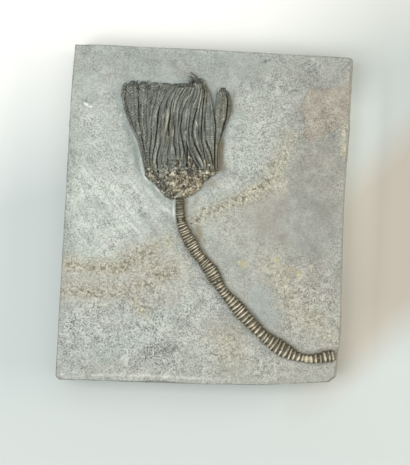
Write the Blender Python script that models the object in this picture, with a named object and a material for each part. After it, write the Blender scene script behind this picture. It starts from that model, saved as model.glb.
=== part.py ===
"""A crinoid fossil in relief on its plate of grey siltstone: slab, ringed stem, calyx and nineteen arms.

Metres, +Z up. The slab lies on its flat back with the fossil facing up, the crown towards +Y and the free end
of the stem towards +X. The origin is on the back, in the middle of the slab's box. The dimensions and the
points below are in millimetres, and each mesh is scaled to metres when it is made."""

import math

import bmesh
import bpy
from mathutils import Vector, noise
from mathutils.geometry import delaunay_2d_cdt

MM = 0.001
GAP = 0.3                    # clear room kept between two pieces that touch in the real fossil
SMOOTH_UNDER = math.radians(50)
CDT_TOLERANCE = 1e-4

# The slab
HALF_WIDTH, HALF_LENGTH = 59.2, 70.4
THICKNESS = 18.0             # its face is this far above its back
SIDE_STEP = 6.0              # longest straight stretch along its sides
SIDE_LAYERS = (              # height, how far in from the outline, how far the broken side wanders
    (0.0, 1.3, 0.0),
    (1.6, 0.4, 0.5),
    (6.0, 0.3, 0.9),
    (10.5, 0.2, 0.9),
    (14.2, 0.0, 0.3),
)
SIDE_GRAIN = 7.0             # size of the breaks in the sides
STRIP_WANDER = 0.6           # share by which the broken strip's width varies
SLAB_OUTLINE = (             # x, y, and how wide the broken strip between face and side is there
    (-57.8, -70.4, 1.0), (-36.6, -70.0, 0.8), (-16.0, -69.9, 2.2), (1.3, -69.6, 0.7), (26.4, -68.8, 0.8),
    (43.2, -67.4, 0.8), (55.2, -66.3, 1.2), (58.0, -64.0, 2.0), (58.7, -52.9, 1.4), (59.2, -44.5, 1.2),
    (58.4, -15.1, 1.3), (58.1, 10.1, 1.8), (59.1, 39.6, 2.6), (59.2, 54.3, 2.6), (59.2, 66.6, 2.4),
    (57.4, 69.8, 1.2), (37.0, 69.9, 0.6), (16.0, 70.1, 0.5), (-5.1, 70.4, 0.6), (-26.1, 70.3, 0.5),
    (-47.1, 70.4, 0.6), (-57.3, 70.1, 0.8), (-58.2, 46.9, 0.8), (-58.4, 4.8, 0.9), (-58.9, -28.8, 0.8),
    (-59.2, -66.7, 0.9), (-59.2, -69.2, 1.0),
)

# The hollow worked into the face round the fossil
CROWN_HOLLOW_DEPTH, STEM_HOLLOW_DEPTH = 1.2, 1.0
HOLLOW_WALL = 1.4            # how far the sloping wall spreads out above the floor
STEM_MARGIN = 1.2            # floor beside the stem
STEM_HOLLOW_START, STEM_HOLLOW_RUNOUT = 2.0, 5.0   # how far it goes on past the stem's two ends
STEM_HOLLOW_STATIONS = 30
CUTTER_OVERSHOOT = 1.0       # how far a cutter stands above the face
CROWN_HOLLOW = (             # edge of its floor, clockwise from the stem
    (-15.5, 4.6), (-21.5, 9.0), (-27.6, 13.6), (-30.2, 20.5), (-32.6, 28.0), (-36.6, 35.5), (-39.2, 43.0),
    (-39.8, 51.0), (-38.0, 57.8), (-31.0, 59.4), (-22.0, 58.8), (-13.0, 59.2), (-8.0, 61.6), (-2.5, 61.2),
    (3.5, 58.2), (10.2, 55.6), (11.8, 48.0), (11.0, 41.0), (8.4, 33.0), (7.0, 25.0), (7.2, 18.6), (3.4, 13.2),
    (-0.8, 8.4), (-6.0, 4.6),
)

# The stem: x, y and radius from the calyx to the free end, swelling five times on the way
STEM_ROUTE = (
    (-10.7, 6.9, 1.7), (-10.4, 1.5, 1.9), (-9.3, -3.4, 2.2), (-7.3, -7.6, 2.6), (-5.4, -10.8, 2.85),
    (-2.9, -14.5, 2.45), (0.2, -18.2, 2.5), (3.3, -21.8, 2.95), (5.6, -25.5, 2.9), (7.9, -28.9, 2.15),
    (10.5, -32.0, 2.15), (13.6, -35.2, 2.75), (17.4, -39.3, 3.0), (20.8, -42.6, 2.85), (24.6, -46.2, 2.4),
    (27.6, -48.8, 2.5), (31.6, -51.6, 3.2), (35.0, -53.6, 3.2), (38.9, -55.5, 2.7), (42.7, -56.8, 1.85),
    (46.5, -57.2, 1.85), (50.3, -56.7, 2.15), (54.0, -55.9, 2.5), (57.2, -55.3, 2.35),
)
STEM_AXIS_ABOVE_FACE = 0.3
COLUMNAL_AT_CALYX, COLUMNAL_AT_END = 0.95, 1.85   # thickness of the stem's ring-shaped plates
SEAM_DEPTH = 0.17            # depth of the seam between two plates, as a share of the radius
WIDER_PLATE = 0.05           # every other plate stands out by this share
STEM_SIDES = 10

# The crown's arms. Each groove between two arms starts at the calyx, passes through these heights, and ends
# at the tips. An arm lies between one groove and the next in a group.
GROOVE_HEIGHTS = (24.0, 31.0, 38.0, 45.0, 51.0)
LEFT_GROOVES = (             # start, x at each height, end
    ((-25.6, 17.6), (-27.5, -29.8, -33.3, -36.0, -37.1), (-36.9, 54.4)),
    ((-25.2, 17.6), (-26.5, -28.5, -32.0, -34.5, -35.3), (-35.4, 55.6)),
    ((-24.6, 17.5), (-25.9, -27.2, -28.8, -29.5, -30.1), (-30.4, 56.4)),
    ((-23.9, 17.4), (-25.1, -25.5, -26.1, -26.3, -26.0), (-25.7, 56.0)),
    ((-23.1, 17.3), (-24.0, -23.8, -23.9, -23.4, -21.9), (-21.0, 56.0)),
    ((-22.1, 17.2), (-22.9, -21.9, -21.5, -21.0, -18.6), (-15.8, 55.7)),
    ((-20.1, 17.1), (-20.9, -20.2, -19.7, -18.6, -16.4), (-13.5, 56.0)),
    ((-17.9, 18.4), (-19.1, -17.9, -16.9, -16.2, -14.8), (-12.0, 56.1)),
    ((-15.6, 18.5), (-16.6, -16.1, -15.6, -15.3, -13.6), (-10.7, 56.1)),
    ((-12.4, 18.7), (-12.9, -14.0, -14.2, -14.0, -12.3), (-9.4, 56.0)),
    ((-10.6, 20.5), (-11.0, -12.3, -12.8, -12.5, -10.4), (-7.9, 56.2)),
    ((-9.4, 20.5), (-9.7, -10.7, -11.4, -10.8, -8.5), (-6.6, 56.8)),
    ((-8.4, 20.6), (-8.5, -9.0, -9.6, -9.2, -7.1), (-5.7, 57.8)),
)
RIGHT_GROOVES = (
    ((-3.1, 20.4), (-5.6, -8.8, -9.6, -9.2, -7.1), (-5.7, 57.8)),
    ((-2.1, 20.4), (-4.1, -7.4, -8.2, -7.5, -5.7), (-4.8, 58.6)),
    ((-1.2, 20.5), (-2.2, -5.4, -6.4, -5.5, -4.2), (-3.9, 58.6)),
    ((-0.2, 20.1), (-0.5, -3.2, -4.4, -4.2, -3.3), (-3.0, 58.0)),
    ((1.1, 20.1), (0.7, -2.0, -2.9, -2.8, -2.4), (-2.1, 56.6)),
    ((2.3, 20.2), (2.1, -0.6, -1.4, -1.4, -1.3), (-1.3, 55.4)),
    ((3.3, 20.2), (3.1, 2.8, 2.7, 1.5, 0.1), (-0.6, 54.2)),
)
APART_GROOVES = (
    ((3.6, 20.3), (3.4, 3.2, 3.1, 2.4, 2.7), (3.2, 55.0)),
    ((4.7, 20.3), (4.5, 4.8, 6.9, 9.1, 8.7), (6.6, 54.8)),
)
ARM_STATIONS = 11            # along an arm up to where its tip starts to round
TIP_PLACES = (0.5, 0.85, 0.97)                  # places in the rounded tip, from its start to its end
ARM_ACROSS = (-1.0, -0.55, 0.0, 0.55, 1.0)      # places across an arm's back
ARM_SHOULDER = 0.55          # height of an arm's edges, as a share of its middle's
CROWN_MIDDLE_X, CROWN_HALF_WIDTH = -14.0, 26.0
ARM_RISE, ARM_SIDE_DROP = 3.3, 1.1              # above the face in mid-crown, and how much less at its sides
TIP_LENGTH = 0.6             # length of an arm's rounded tip, as a share of its width
TIP_LOW = 0.5                # height of the tip, as a share of the arm's

# The calyx, the cup of plates between the stem and the arms
CALYX_LOWER_EDGE = (           # anticlockwise from its left shoulder to its right one
    (-25.5, 16.8), (-23.6, 15.5), (-20.6, 14.4), (-18.9, 12.5), (-17.9, 10.9), (-16.2, 8.9), (-14.0, 7.7),
    (-11.5, 7.3), (-9.0, 7.6), (-6.5, 8.7), (-4.3, 10.2), (-2.2, 11.8), (-1.3, 14.2), (0.8, 16.2),
    (3.4, 18.1), (4.9, 19.5),
)
RUBBLE_EDGE = ((-3.6, 20.0), (-6.0, 23.8), (-8.1, 28.2), (-8.0, 24.0), (-8.1, 20.3))
CALYX_CLEARANCE = 0.45         # between its upper edge and the arms above it
CALYX_STEP = 1.15              # distance between the points of its surface
CALYX_RISE, CALYX_EDGE_RISE = 3.4, 1.0              # above the face in its middle and at its edge
CALYX_SLOPE = 6.0              # it rises over this distance from its edge
CALYX_PLATES = (               # x, y, radius and height of each swollen plate
    (-14.6, 10.4, 2.0, 1.0), (-10.6, 9.9, 2.1, 1.2), (-6.8, 10.9, 2.0, 0.9), (-3.7, 12.6, 1.9, 1.1),
    (-17.3, 13.2, 1.9, 0.9), (-13.6, 14.0, 2.3, 1.5), (-9.0, 14.4, 2.4, 1.2), (-4.9, 15.4, 2.0, 0.8),
    (-19.6, 15.6, 1.6, 0.8), (-16.6, 17.0, 1.5, 1.1), (-13.2, 17.2, 1.5, 1.6), (-9.6, 18.2, 1.7, 1.2),
    (-5.6, 18.6, 1.8, 0.9), (-1.7, 17.6, 1.9, 1.1), (1.6, 18.6, 1.5, 1.2), (-6.9, 21.4, 1.4, 0.7),
    (-7.3, 24.4, 1.2, 0.6), (-22.4, 16.0, 1.3, 1.0), (-24.4, 16.8, 1.1, 0.9),
)


def curve_through(points, closed=False, steps=8):
    """A dense line of points on the Catmull-Rom curve through the given ones."""
    points = [Vector(point) for point in points]
    if closed:
        points = [points[-1], *points, points[0], points[1]]
    else:
        points = [points[0] * 2 - points[1], *points, points[-1] * 2 - points[-2]]
    line = []
    for before, start, end, after in zip(points, points[1:], points[2:], points[3:]):
        slope = end - before
        bend = before * 2 - start * 5 + end * 4 - after
        twist = start * 3 - before - end * 3 + after
        for step in range(steps):
            t = step / steps
            line.append(start + (slope * t + bend * t**2 + twist * t**3) / 2)
    return line if closed else [*line, points[-2]]


def along(line, distances):
    """The points of a line at the given distances along it, in increasing order."""
    found = []
    passed, index = 0.0, 0
    for distance in distances:
        step = (line[index + 1] - line[index]).length
        while passed + step < distance and index < len(line) - 2:
            passed += step
            index += 1
            step = (line[index + 1] - line[index]).length
        found.append(line[index].lerp(line[index + 1], (distance - passed) / step))
    return found


def length_of(line):
    return sum((end - start).length for start, end in zip(line, line[1:]))


def subdivided(corners, longest):
    """A closed outline's corners, with more points wherever two are further apart than the longest step."""
    outline = []
    for start, end in zip(corners, [*corners[1:], corners[0]]):
        start, end = Vector(start), Vector(end)
        parts = math.ceil((end - start).xy.length / longest)
        outline += [start.lerp(end, part / parts) for part in range(parts)]
    return outline


def outward(outline, distance):
    """A clockwise closed outline in the XY plane, moved out by a distance."""
    moved = []
    for before, point, after in zip([outline[-1], *outline], outline, [*outline[1:], outline[0]]):
        direction = (after - before).normalized()
        moved.append(point + Vector((-direction.y, direction.x)) * distance)
    return moved


def stone(name, colour, roughness):
    material = bpy.data.materials.new(name)
    material.use_nodes = True
    shader = material.node_tree.nodes["Principled BSDF"]
    shader.inputs["Base Color"].default_value = (*colour, 1.0)
    shader.inputs["Roughness"].default_value = roughness
    shader.inputs["Metallic"].default_value = 0.0
    material.diffuse_color = (*colour, 1.0)
    return material


def finished(name, body, material, smooth=True):
    """The named object of a closed body, with its faces turned out."""
    mesh = bpy.data.meshes.new(name)
    bmesh.ops.recalc_face_normals(body, faces=body.faces)
    body.to_mesh(mesh)
    body.free()
    if smooth:
        mesh.shade_smooth()
        mesh.set_sharp_from_angle(angle=SMOOTH_UNDER)
    mesh.materials.append(material)
    piece = bpy.data.objects.new(name, mesh)
    bpy.context.collection.objects.link(piece)
    return piece


def lofted(name, rings, material, smooth=True):
    """A closed body with walls between successive rings of points and a cap on the first and the last."""
    body = bmesh.new()
    loops = [[body.verts.new(Vector(point) * MM) for point in ring] for ring in rings]
    for low, high in zip(loops, loops[1:]):
        for a, b, c, d in zip(low, [*low[1:], low[0]], [*high[1:], high[0]], high):
            body.faces.new((a, b, c, d))
    body.faces.new(loops[0])
    body.faces.new(loops[-1])
    return finished(name, body, material, smooth)


def flat_ring(outline, height):
    return [(point.x, point.y, height) for point in outline]


def slab(material):
    """The plate of rock: a flat back, uneven broken sides, and a chipped strip where they meet the face."""
    outline = subdivided(SLAB_OUTLINE, SIDE_STEP)
    rings = []
    for height, inset, wander in SIDE_LAYERS:
        ring = []
        for x, y, _ in outline:
            point = Vector((x, y, height))
            shift = inset + wander * abs(noise.noise(point / SIDE_GRAIN))
            ring.append((x * (1 - shift / HALF_WIDTH), y * (1 - shift / HALF_LENGTH), height))
        rings.append(ring)
    face = []
    for x, y, strip in outline:
        worn = strip * (1 + STRIP_WANDER * noise.noise(Vector((x, y, THICKNESS)) / SIDE_GRAIN))
        face.append((x * (1 - worn / HALF_WIDTH), y * (1 - worn / HALF_LENGTH), THICKNESS))
    rings.append(face)
    return lofted("matrix_slab", rings, material, smooth=False)


def cutter(name, rings):
    """A body that only cuts: it is drawn as wire and is no part of the model."""
    piece = lofted(name, rings, None, smooth=False)
    piece.hide_render = True
    piece.display_type = "WIRE"
    return piece


def cut(piece, tool):
    modifier = piece.modifiers.new(tool.name, "BOOLEAN")
    modifier.operation = "DIFFERENCE"
    modifier.solver = "EXACT"
    modifier.object = tool


def crown_hollow():
    """The hollow round the crown: a flat floor with a sloping wall."""
    floor = curve_through(CROWN_HOLLOW, closed=True, steps=3)
    top = outward(floor, HOLLOW_WALL * (1 + CUTTER_OVERSHOOT / CROWN_HOLLOW_DEPTH))
    rings = [
        flat_ring(floor, THICKNESS - CROWN_HOLLOW_DEPTH),
        flat_ring(top, THICKNESS + CUTTER_OVERSHOOT),
    ]
    return cutter("crown_hollow", rings)


def stem_hollow():
    """The channel round the stem, from inside the crown's hollow out through the slab's side."""
    line = curve_through(STEM_ROUTE)
    start = line[0] + (line[0] - line[1]).normalized() * STEM_HOLLOW_START
    end = line[-1] + (line[-1] - line[-2]).normalized() * STEM_HOLLOW_RUNOUT
    line = [start, *line[:: len(line) // STEM_HOLLOW_STATIONS], end]
    spread = HOLLOW_WALL * (1 + CUTTER_OVERSHOOT / STEM_HOLLOW_DEPTH)
    floor, top = THICKNESS - STEM_HOLLOW_DEPTH, THICKNESS + CUTTER_OVERSHOOT
    rings = []
    for before, point, after in zip([line[0], *line], line, [*line[1:], line[-1]]):
        ahead = (after - before).xy.normalized()
        side = Vector((ahead.y, -ahead.x))
        low = side * (point.z + STEM_MARGIN)
        high = side * (point.z + STEM_MARGIN + spread)
        middle = point.xy
        rings.append((
            (*(middle - low), floor),
            (*(middle + low), floor),
            (*(middle + high), top),
            (*(middle - high), top),
        ))
    return cutter("stem_hollow", rings)


def columnal_seams(length):
    """Distances of the seams between the stem's plates, which get thicker towards its free end."""
    seams = [0.0]
    while seams[-1] < length:
        share = seams[-1] / length
        seams.append(seams[-1] + COLUMNAL_AT_CALYX + (COLUMNAL_AT_END - COLUMNAL_AT_CALYX) * share)
    stretch = length / seams[-1]
    return [seam * stretch for seam in seams]


def stem(material):
    """A stack of ring-shaped plates along a winding route, flat where it lies on the floor of its channel."""
    line = curve_through(STEM_ROUTE)
    seams = columnal_seams(length_of(line))
    distances, scales = [], []
    for number, (seam, next_seam) in enumerate(zip(seams, seams[1:])):
        distances += [seam, (seam + next_seam) / 2]
        scales += [1 - SEAM_DEPTH, 1 + WIDER_PLATE * (number % 2)]
    places = along(line, distances)
    floor_below_axis = STEM_AXIS_ABOVE_FACE + STEM_HOLLOW_DEPTH - GAP
    axis_height = THICKNESS + STEM_AXIS_ABOVE_FACE
    rings = []
    for before, place, after, scale in zip([places[0], *places], places, [*places[1:], places[-1]], scales):
        ahead = (after - before).xy.normalized()
        radius = place.z * scale
        lowest = -math.asin(floor_below_axis / radius)
        ring = []
        for side in range(STEM_SIDES):
            angle = lowest + (math.pi - 2 * lowest) * side / (STEM_SIDES - 1)
            middle = place.xy + Vector((ahead.y, -ahead.x)) * radius * math.cos(angle)
            ring.append((*middle, axis_height + radius * math.sin(angle)))
        rings.append(ring)
    return lofted("stem", rings, material)


def groove_line(start, places, end):
    return curve_through([start, *zip(places, GROOVE_HEIGHTS), end])


def arm_height(x, share):
    """How far an arm's back stands above the face: most in mid-crown, less at its sides and its tips."""
    aside = min(abs(x - CROWN_MIDDLE_X) / CROWN_HALF_WIDTH, 1.0)
    return (ARM_RISE - ARM_SIDE_DROP * aside**2) * (1 - (1 - TIP_LOW) * share**3)


def arm(name, left, right, material):
    """One arm: a rib with an arched back and a rounded tip, filling the room between two grooves."""
    tip = TIP_LENGTH * (left[-1] - right[-1]).length / length_of(left)
    shares = [(1 - tip) * station / (ARM_STATIONS - 1) for station in range(ARM_STATIONS)]
    shares += [1 - tip + tip * place for place in TIP_PLACES]
    left_line = along(left, [length_of(left) * share for share in shares])
    right_line = along(right, [length_of(right) * share for share in shares])
    floor = THICKNESS - CROWN_HOLLOW_DEPTH + GAP
    rings = []
    for share, west, east in zip(shares, left_line, right_line):
        middle = (west + east) / 2
        into_tip = max(0.0, (share - 1 + tip) / tip)
        half = ((east - west) / 2 - (east - west).normalized() * GAP / 2) * math.sqrt(1 - into_tip**2)
        rise = THICKNESS + arm_height(middle.x, share) - floor
        ring = [(*(middle + half), floor), (*(middle - half), floor)]
        for across in ARM_ACROSS:
            place = middle + half * across
            ring.append((*place, floor + rise * (1 - (1 - ARM_SHOULDER) * across**2)))
        rings.append(ring)
    return lofted(name, rings, material)


def arms(material):
    number = 0
    for grooves in (LEFT_GROOVES, RIGHT_GROOVES, APART_GROOVES):
        lines = [groove_line(*groove) for groove in grooves]
        for left, right in zip(lines, lines[1:]):
            number += 1
            arm(f"arm_{number:02d}", left, right, material)


def calyx_outline():
    """The calyx's edge, anticlockwise: its own outline below, and above it just clear of the arms."""
    starts = [groove[0] for groove in (*LEFT_GROOVES, *RIGHT_GROOVES, *APART_GROOVES)]
    upper = [(x, y - CALYX_CLEARANCE) for x, y in starts]
    left, right = upper[: len(LEFT_GROOVES) - 1], upper[len(LEFT_GROOVES) + 1:]
    return subdivided([*CALYX_LOWER_EDGE, *right[::-1], *RUBBLE_EDGE, *left[::-1]], CALYX_STEP)


def edge_distance(point, outline):
    """How far a point is from an outline's nearest edge."""
    nearest = math.inf
    for start, end in zip(outline, [*outline[1:], outline[0]]):
        span = end - start
        share = min(max((point - start).dot(span) / span.length_squared, 0.0), 1.0)
        nearest = min(nearest, (start + span * share - point).length)
    return nearest


def inside(point, outline):
    crossings = 0
    for start, end in zip(outline, [*outline[1:], outline[0]]):
        if (start.y > point.y) != (end.y > point.y):
            share = (point.y - start.y) / (end.y - start.y)
            crossings += point.x < start.x + share * (end.x - start.x)
    return crossings % 2 == 1


def calyx_height(place, from_edge):
    """Height of the calyx above the face: a dome, with swollen plates on it and seams between them."""
    rise = math.sqrt(1 - (1 - min(from_edge / CALYX_SLOPE, 1.0))**2)
    bump = 0.0
    for x, y, radius, height in CALYX_PLATES:
        off = math.hypot(place.x - x, place.y - y) / radius
        bump = max(bump, height * (1 - off**2))
    return CALYX_EDGE_RISE + (CALYX_RISE - CALYX_EDGE_RISE) * rise + bump


def calyx(material):
    """The knobbly cup of plates: a low dome over its outline, with an upright edge and a flat base."""
    outline = calyx_outline()
    across = [point.x for point in outline]
    up = [point.y for point in outline]
    row_step = CALYX_STEP * math.sqrt(3) / 2
    places = list(outline)
    for row in range(math.ceil((max(up) - min(up)) / row_step)):
        for column in range(math.ceil((max(across) - min(across)) / CALYX_STEP)):
            place = Vector((min(across) + CALYX_STEP * (column + row % 2 / 2), min(up) + row_step * row))
            if inside(place, outline) and edge_distance(place, outline) > CALYX_STEP / 2:
                places.append(place)
    edges = [(start, (start + 1) % len(outline)) for start in range(len(outline))]
    places, _, faces, *_ = delaunay_2d_cdt(places, edges, [], 1, CDT_TOLERANCE)
    body = bmesh.new()
    top = []
    for place in places:
        height = calyx_height(place, edge_distance(place, outline))
        top.append(body.verts.new(Vector((*place, THICKNESS + height)) * MM))
    floor = (THICKNESS - CROWN_HOLLOW_DEPTH + GAP) * MM
    base = [body.verts.new((top[corner].co.x, top[corner].co.y, floor)) for corner in range(len(outline))]
    for face in faces:
        body.faces.new([top[corner] for corner in face])
    for start, end in edges:
        body.faces.new((top[start], top[end], base[end], base[start]))
    body.faces.new(base)
    return finished("calyx", body, material)


def build():
    for leftover in list(bpy.data.objects):
        bpy.data.objects.remove(leftover)
    siltstone = stone("siltstone", (0.42, 0.45, 0.40), 0.85)
    dark_calcite = stone("dark_calcite", (0.15, 0.16, 0.13), 0.55)
    brown_calcite = stone("brown_calcite", (0.25, 0.21, 0.14), 0.5)
    plate = slab(siltstone)
    cut(plate, crown_hollow())
    cut(plate, stem_hollow())
    stem(brown_calcite)
    calyx(brown_calcite)
    arms(dark_calcite)


build()
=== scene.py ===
"""The looks of a crinoid fossil on its plate of grey siltstone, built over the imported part.

Lengths are in millimetres in the part's own frame, and become metres when a mesh is made. Each CAD solid is
replaced by a closed mesh of the same place and form that carries the fine surface: the grain, scars and
broken sides of the rock, the pinnules of the arms, the plates of the calyx and the rings of the stem."""

import math

import bmesh
import bpy
import numpy as np
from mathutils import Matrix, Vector, noise
from mathutils.geometry import delaunay_2d_cdt


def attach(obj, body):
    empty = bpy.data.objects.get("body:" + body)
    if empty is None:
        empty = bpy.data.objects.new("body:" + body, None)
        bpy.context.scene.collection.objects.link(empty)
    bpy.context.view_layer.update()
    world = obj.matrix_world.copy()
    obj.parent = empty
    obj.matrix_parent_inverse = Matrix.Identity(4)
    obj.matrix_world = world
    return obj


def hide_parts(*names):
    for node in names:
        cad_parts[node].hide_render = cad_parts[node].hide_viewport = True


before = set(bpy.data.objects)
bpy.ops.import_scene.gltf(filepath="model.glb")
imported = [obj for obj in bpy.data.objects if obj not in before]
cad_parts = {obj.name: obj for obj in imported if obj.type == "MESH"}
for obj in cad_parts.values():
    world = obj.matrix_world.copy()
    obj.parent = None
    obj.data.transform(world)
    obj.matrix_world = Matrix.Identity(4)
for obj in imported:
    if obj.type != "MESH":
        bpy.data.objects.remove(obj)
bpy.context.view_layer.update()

MM = 0.001
FACE = 18.0                  # height of the slab's face above its back
CDT_TOLERANCE = 1e-4

# ---------------------------------------------------------------- the part's own lines, as in its CAD source
# In two places they differ: the slab's top right corner is squarer here, and the calyx's lower left rim is
# about a millimetre wider.

HALF_WIDTH, HALF_LENGTH = 59.2, 70.4     # of the slab
SLAB_OUTLINE = (             # x, y, and how wide the broken strip between face and side is there
    (-57.8, -70.4, 1.0), (-36.6, -70.0, 0.8), (-16.0, -69.9, 2.2), (1.3, -69.6, 0.7), (26.4, -68.8, 0.8),
    (43.2, -67.4, 0.8), (55.2, -66.3, 1.2), (58.0, -64.0, 2.0), (58.7, -52.9, 1.4), (59.2, -44.5, 1.2),
    (58.4, -15.1, 1.3), (58.1, 10.1, 1.8), (59.1, 39.6, 2.6), (59.2, 54.3, 2.6), (59.2, 66.6, 2.4),
    (58.9, 69.0, 1.4), (57.4, 69.8, 1.2), (37.0, 69.9, 0.6), (16.0, 70.1, 0.5), (-5.1, 70.4, 0.6),
    (-26.1, 70.3, 0.5), (-47.1, 70.4, 0.6), (-57.3, 70.1, 0.8), (-58.2, 46.9, 0.8), (-58.4, 4.8, 0.9),
    (-58.9, -28.8, 0.8), (-59.2, -66.7, 0.9), (-59.2, -69.2, 1.0),
)
OUTLINE_CORNERS = (0, 6, 15, 22)     # which of its points start the slab's four sides
STEM_ROUTE = (               # x, y, radius from the calyx to the free end
    (-10.7, 6.9, 1.7), (-10.4, 1.5, 1.9), (-9.3, -3.4, 2.2), (-7.3, -7.6, 2.6), (-5.4, -10.8, 2.85),
    (-2.9, -14.5, 2.45), (0.2, -18.2, 2.5), (3.3, -21.8, 2.95), (5.6, -25.5, 2.9), (7.9, -28.9, 2.15),
    (10.5, -32.0, 2.15), (13.6, -35.2, 2.75), (17.4, -39.3, 3.0), (20.8, -42.6, 2.85), (24.6, -46.2, 2.4),
    (27.6, -48.8, 2.5), (31.6, -51.6, 3.2), (35.0, -53.6, 3.2), (38.9, -55.5, 2.7), (42.7, -56.8, 1.85),
    (46.5, -57.2, 1.85), (50.3, -56.7, 2.15), (54.0, -55.9, 2.5), (57.2, -55.3, 2.35),
)
STEM_AXIS = FACE + 0.3
GROOVE_HEIGHTS = (24.0, 31.0, 38.0, 45.0, 51.0)      # the y at which their x is given
LEFT_GROOVES = (             # the grooves between the arms: start, x at each height, end
    ((-25.6, 17.6), (-27.5, -29.8, -33.3, -36.0, -37.1), (-36.9, 54.4)),
    ((-25.2, 17.6), (-26.5, -28.5, -32.0, -34.5, -35.3), (-35.4, 55.6)),
    ((-24.6, 17.5), (-25.9, -27.2, -28.8, -29.5, -30.1), (-30.4, 56.4)),
    ((-23.9, 17.4), (-25.1, -25.5, -26.1, -26.3, -26.0), (-25.7, 56.0)),
    ((-23.1, 17.3), (-24.0, -23.8, -23.9, -23.4, -21.9), (-21.0, 56.0)),
    ((-22.1, 17.2), (-22.9, -21.9, -21.5, -21.0, -18.6), (-15.8, 55.7)),
    ((-20.1, 17.1), (-20.9, -20.2, -19.7, -18.6, -16.4), (-13.5, 56.0)),
    ((-17.9, 18.4), (-19.1, -17.9, -16.9, -16.2, -14.8), (-12.0, 56.1)),
    ((-15.6, 18.5), (-16.6, -16.1, -15.6, -15.3, -13.6), (-10.7, 56.1)),
    ((-12.4, 18.7), (-12.9, -14.0, -14.2, -14.0, -12.3), (-9.4, 56.0)),
    ((-10.6, 20.5), (-11.0, -12.3, -12.8, -12.5, -10.4), (-7.9, 56.2)),
    ((-9.4, 20.5), (-9.7, -10.7, -11.4, -10.8, -8.5), (-6.6, 56.8)),
    ((-8.4, 20.6), (-8.5, -9.0, -9.6, -9.2, -7.1), (-5.7, 57.8)),
)
RIGHT_GROOVES = (            # the same on the right of the calyx's notch
    ((-3.1, 20.4), (-5.6, -8.8, -9.6, -9.2, -7.1), (-5.7, 57.8)),
    ((-2.1, 20.4), (-4.1, -7.4, -8.2, -7.5, -5.7), (-4.8, 58.6)),
    ((-1.2, 20.5), (-2.2, -5.4, -6.4, -5.5, -4.2), (-3.9, 58.6)),
    ((-0.2, 20.1), (-0.5, -3.2, -4.4, -4.2, -3.3), (-3.0, 58.0)),
    ((1.1, 20.1), (0.7, -2.0, -2.9, -2.8, -2.4), (-2.1, 56.6)),
    ((2.3, 20.2), (2.1, -0.6, -1.4, -1.4, -1.3), (-1.3, 55.4)),
    ((3.3, 20.2), (3.1, 2.8, 2.7, 1.5, 0.1), (-0.6, 54.2)),
)
APART_GROOVES = (            # both sides of the arm that stands apart
    ((3.6, 20.3), (3.4, 3.2, 3.1, 2.4, 2.7), (3.2, 55.0)),
    ((4.7, 20.3), (4.5, 4.8, 6.9, 9.1, 8.7), (6.6, 54.8)),
)
CROWN_MIDDLE_X, CROWN_HALF_WIDTH = -14.0, 26.0
ARM_RISE, ARM_SIDE_DROP = 3.3, 1.1   # above the face in mid-crown, and how much less at its sides
ARM_FLOOR = 17.0             # underside of the arms and the calyx, buried in the rock
CALYX_LOWER_EDGE = (         # anticlockwise from its left shoulder to its right one
    (-25.9, 16.5), (-24.3, 14.9), (-21.6, 13.3), (-20.1, 11.6), (-19.0, 10.0), (-17.1, 8.1), (-14.6, 7.0),
    (-11.5, 7.3), (-9.0, 7.6), (-6.5, 8.7), (-4.3, 10.2), (-2.2, 11.8), (-1.3, 14.2), (0.8, 16.2),
    (3.4, 18.1), (4.9, 19.5),
)
# the notch between the left and the right arms, which the calyx's rubble fills
RUBBLE_EDGE = ((-3.6, 20.0), (-6.0, 23.8), (-8.1, 28.2), (-8.0, 24.0), (-8.1, 20.3))
CALYX_PLATES = (             # x, y, radius and height of each swollen plate
    (-14.6, 10.4, 2.0, 1.0), (-10.6, 9.9, 2.1, 1.2), (-6.8, 10.9, 2.0, 0.9), (-3.7, 12.6, 1.9, 1.1),
    (-17.3, 13.2, 1.9, 0.9), (-13.6, 14.0, 2.3, 1.5), (-9.0, 14.4, 2.4, 1.2), (-4.9, 15.4, 2.0, 0.8),
    (-19.6, 15.6, 1.6, 0.8), (-16.6, 17.0, 1.5, 1.1), (-13.2, 17.2, 1.5, 1.6), (-9.6, 18.2, 1.7, 1.2),
    (-5.6, 18.6, 1.8, 0.9), (-1.7, 17.6, 1.9, 1.1), (1.6, 18.6, 1.5, 1.2), (-6.9, 21.4, 1.4, 0.7),
    (-7.3, 24.4, 1.2, 0.6), (-22.4, 16.0, 1.3, 1.0), (-24.4, 16.8, 1.1, 0.9),
)

# ---------------------------------------------------------------- features of the rock's face
# "Points" are points along the middle of a line, and "patches" are ovals: x, y, radius across, radius up.

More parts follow.
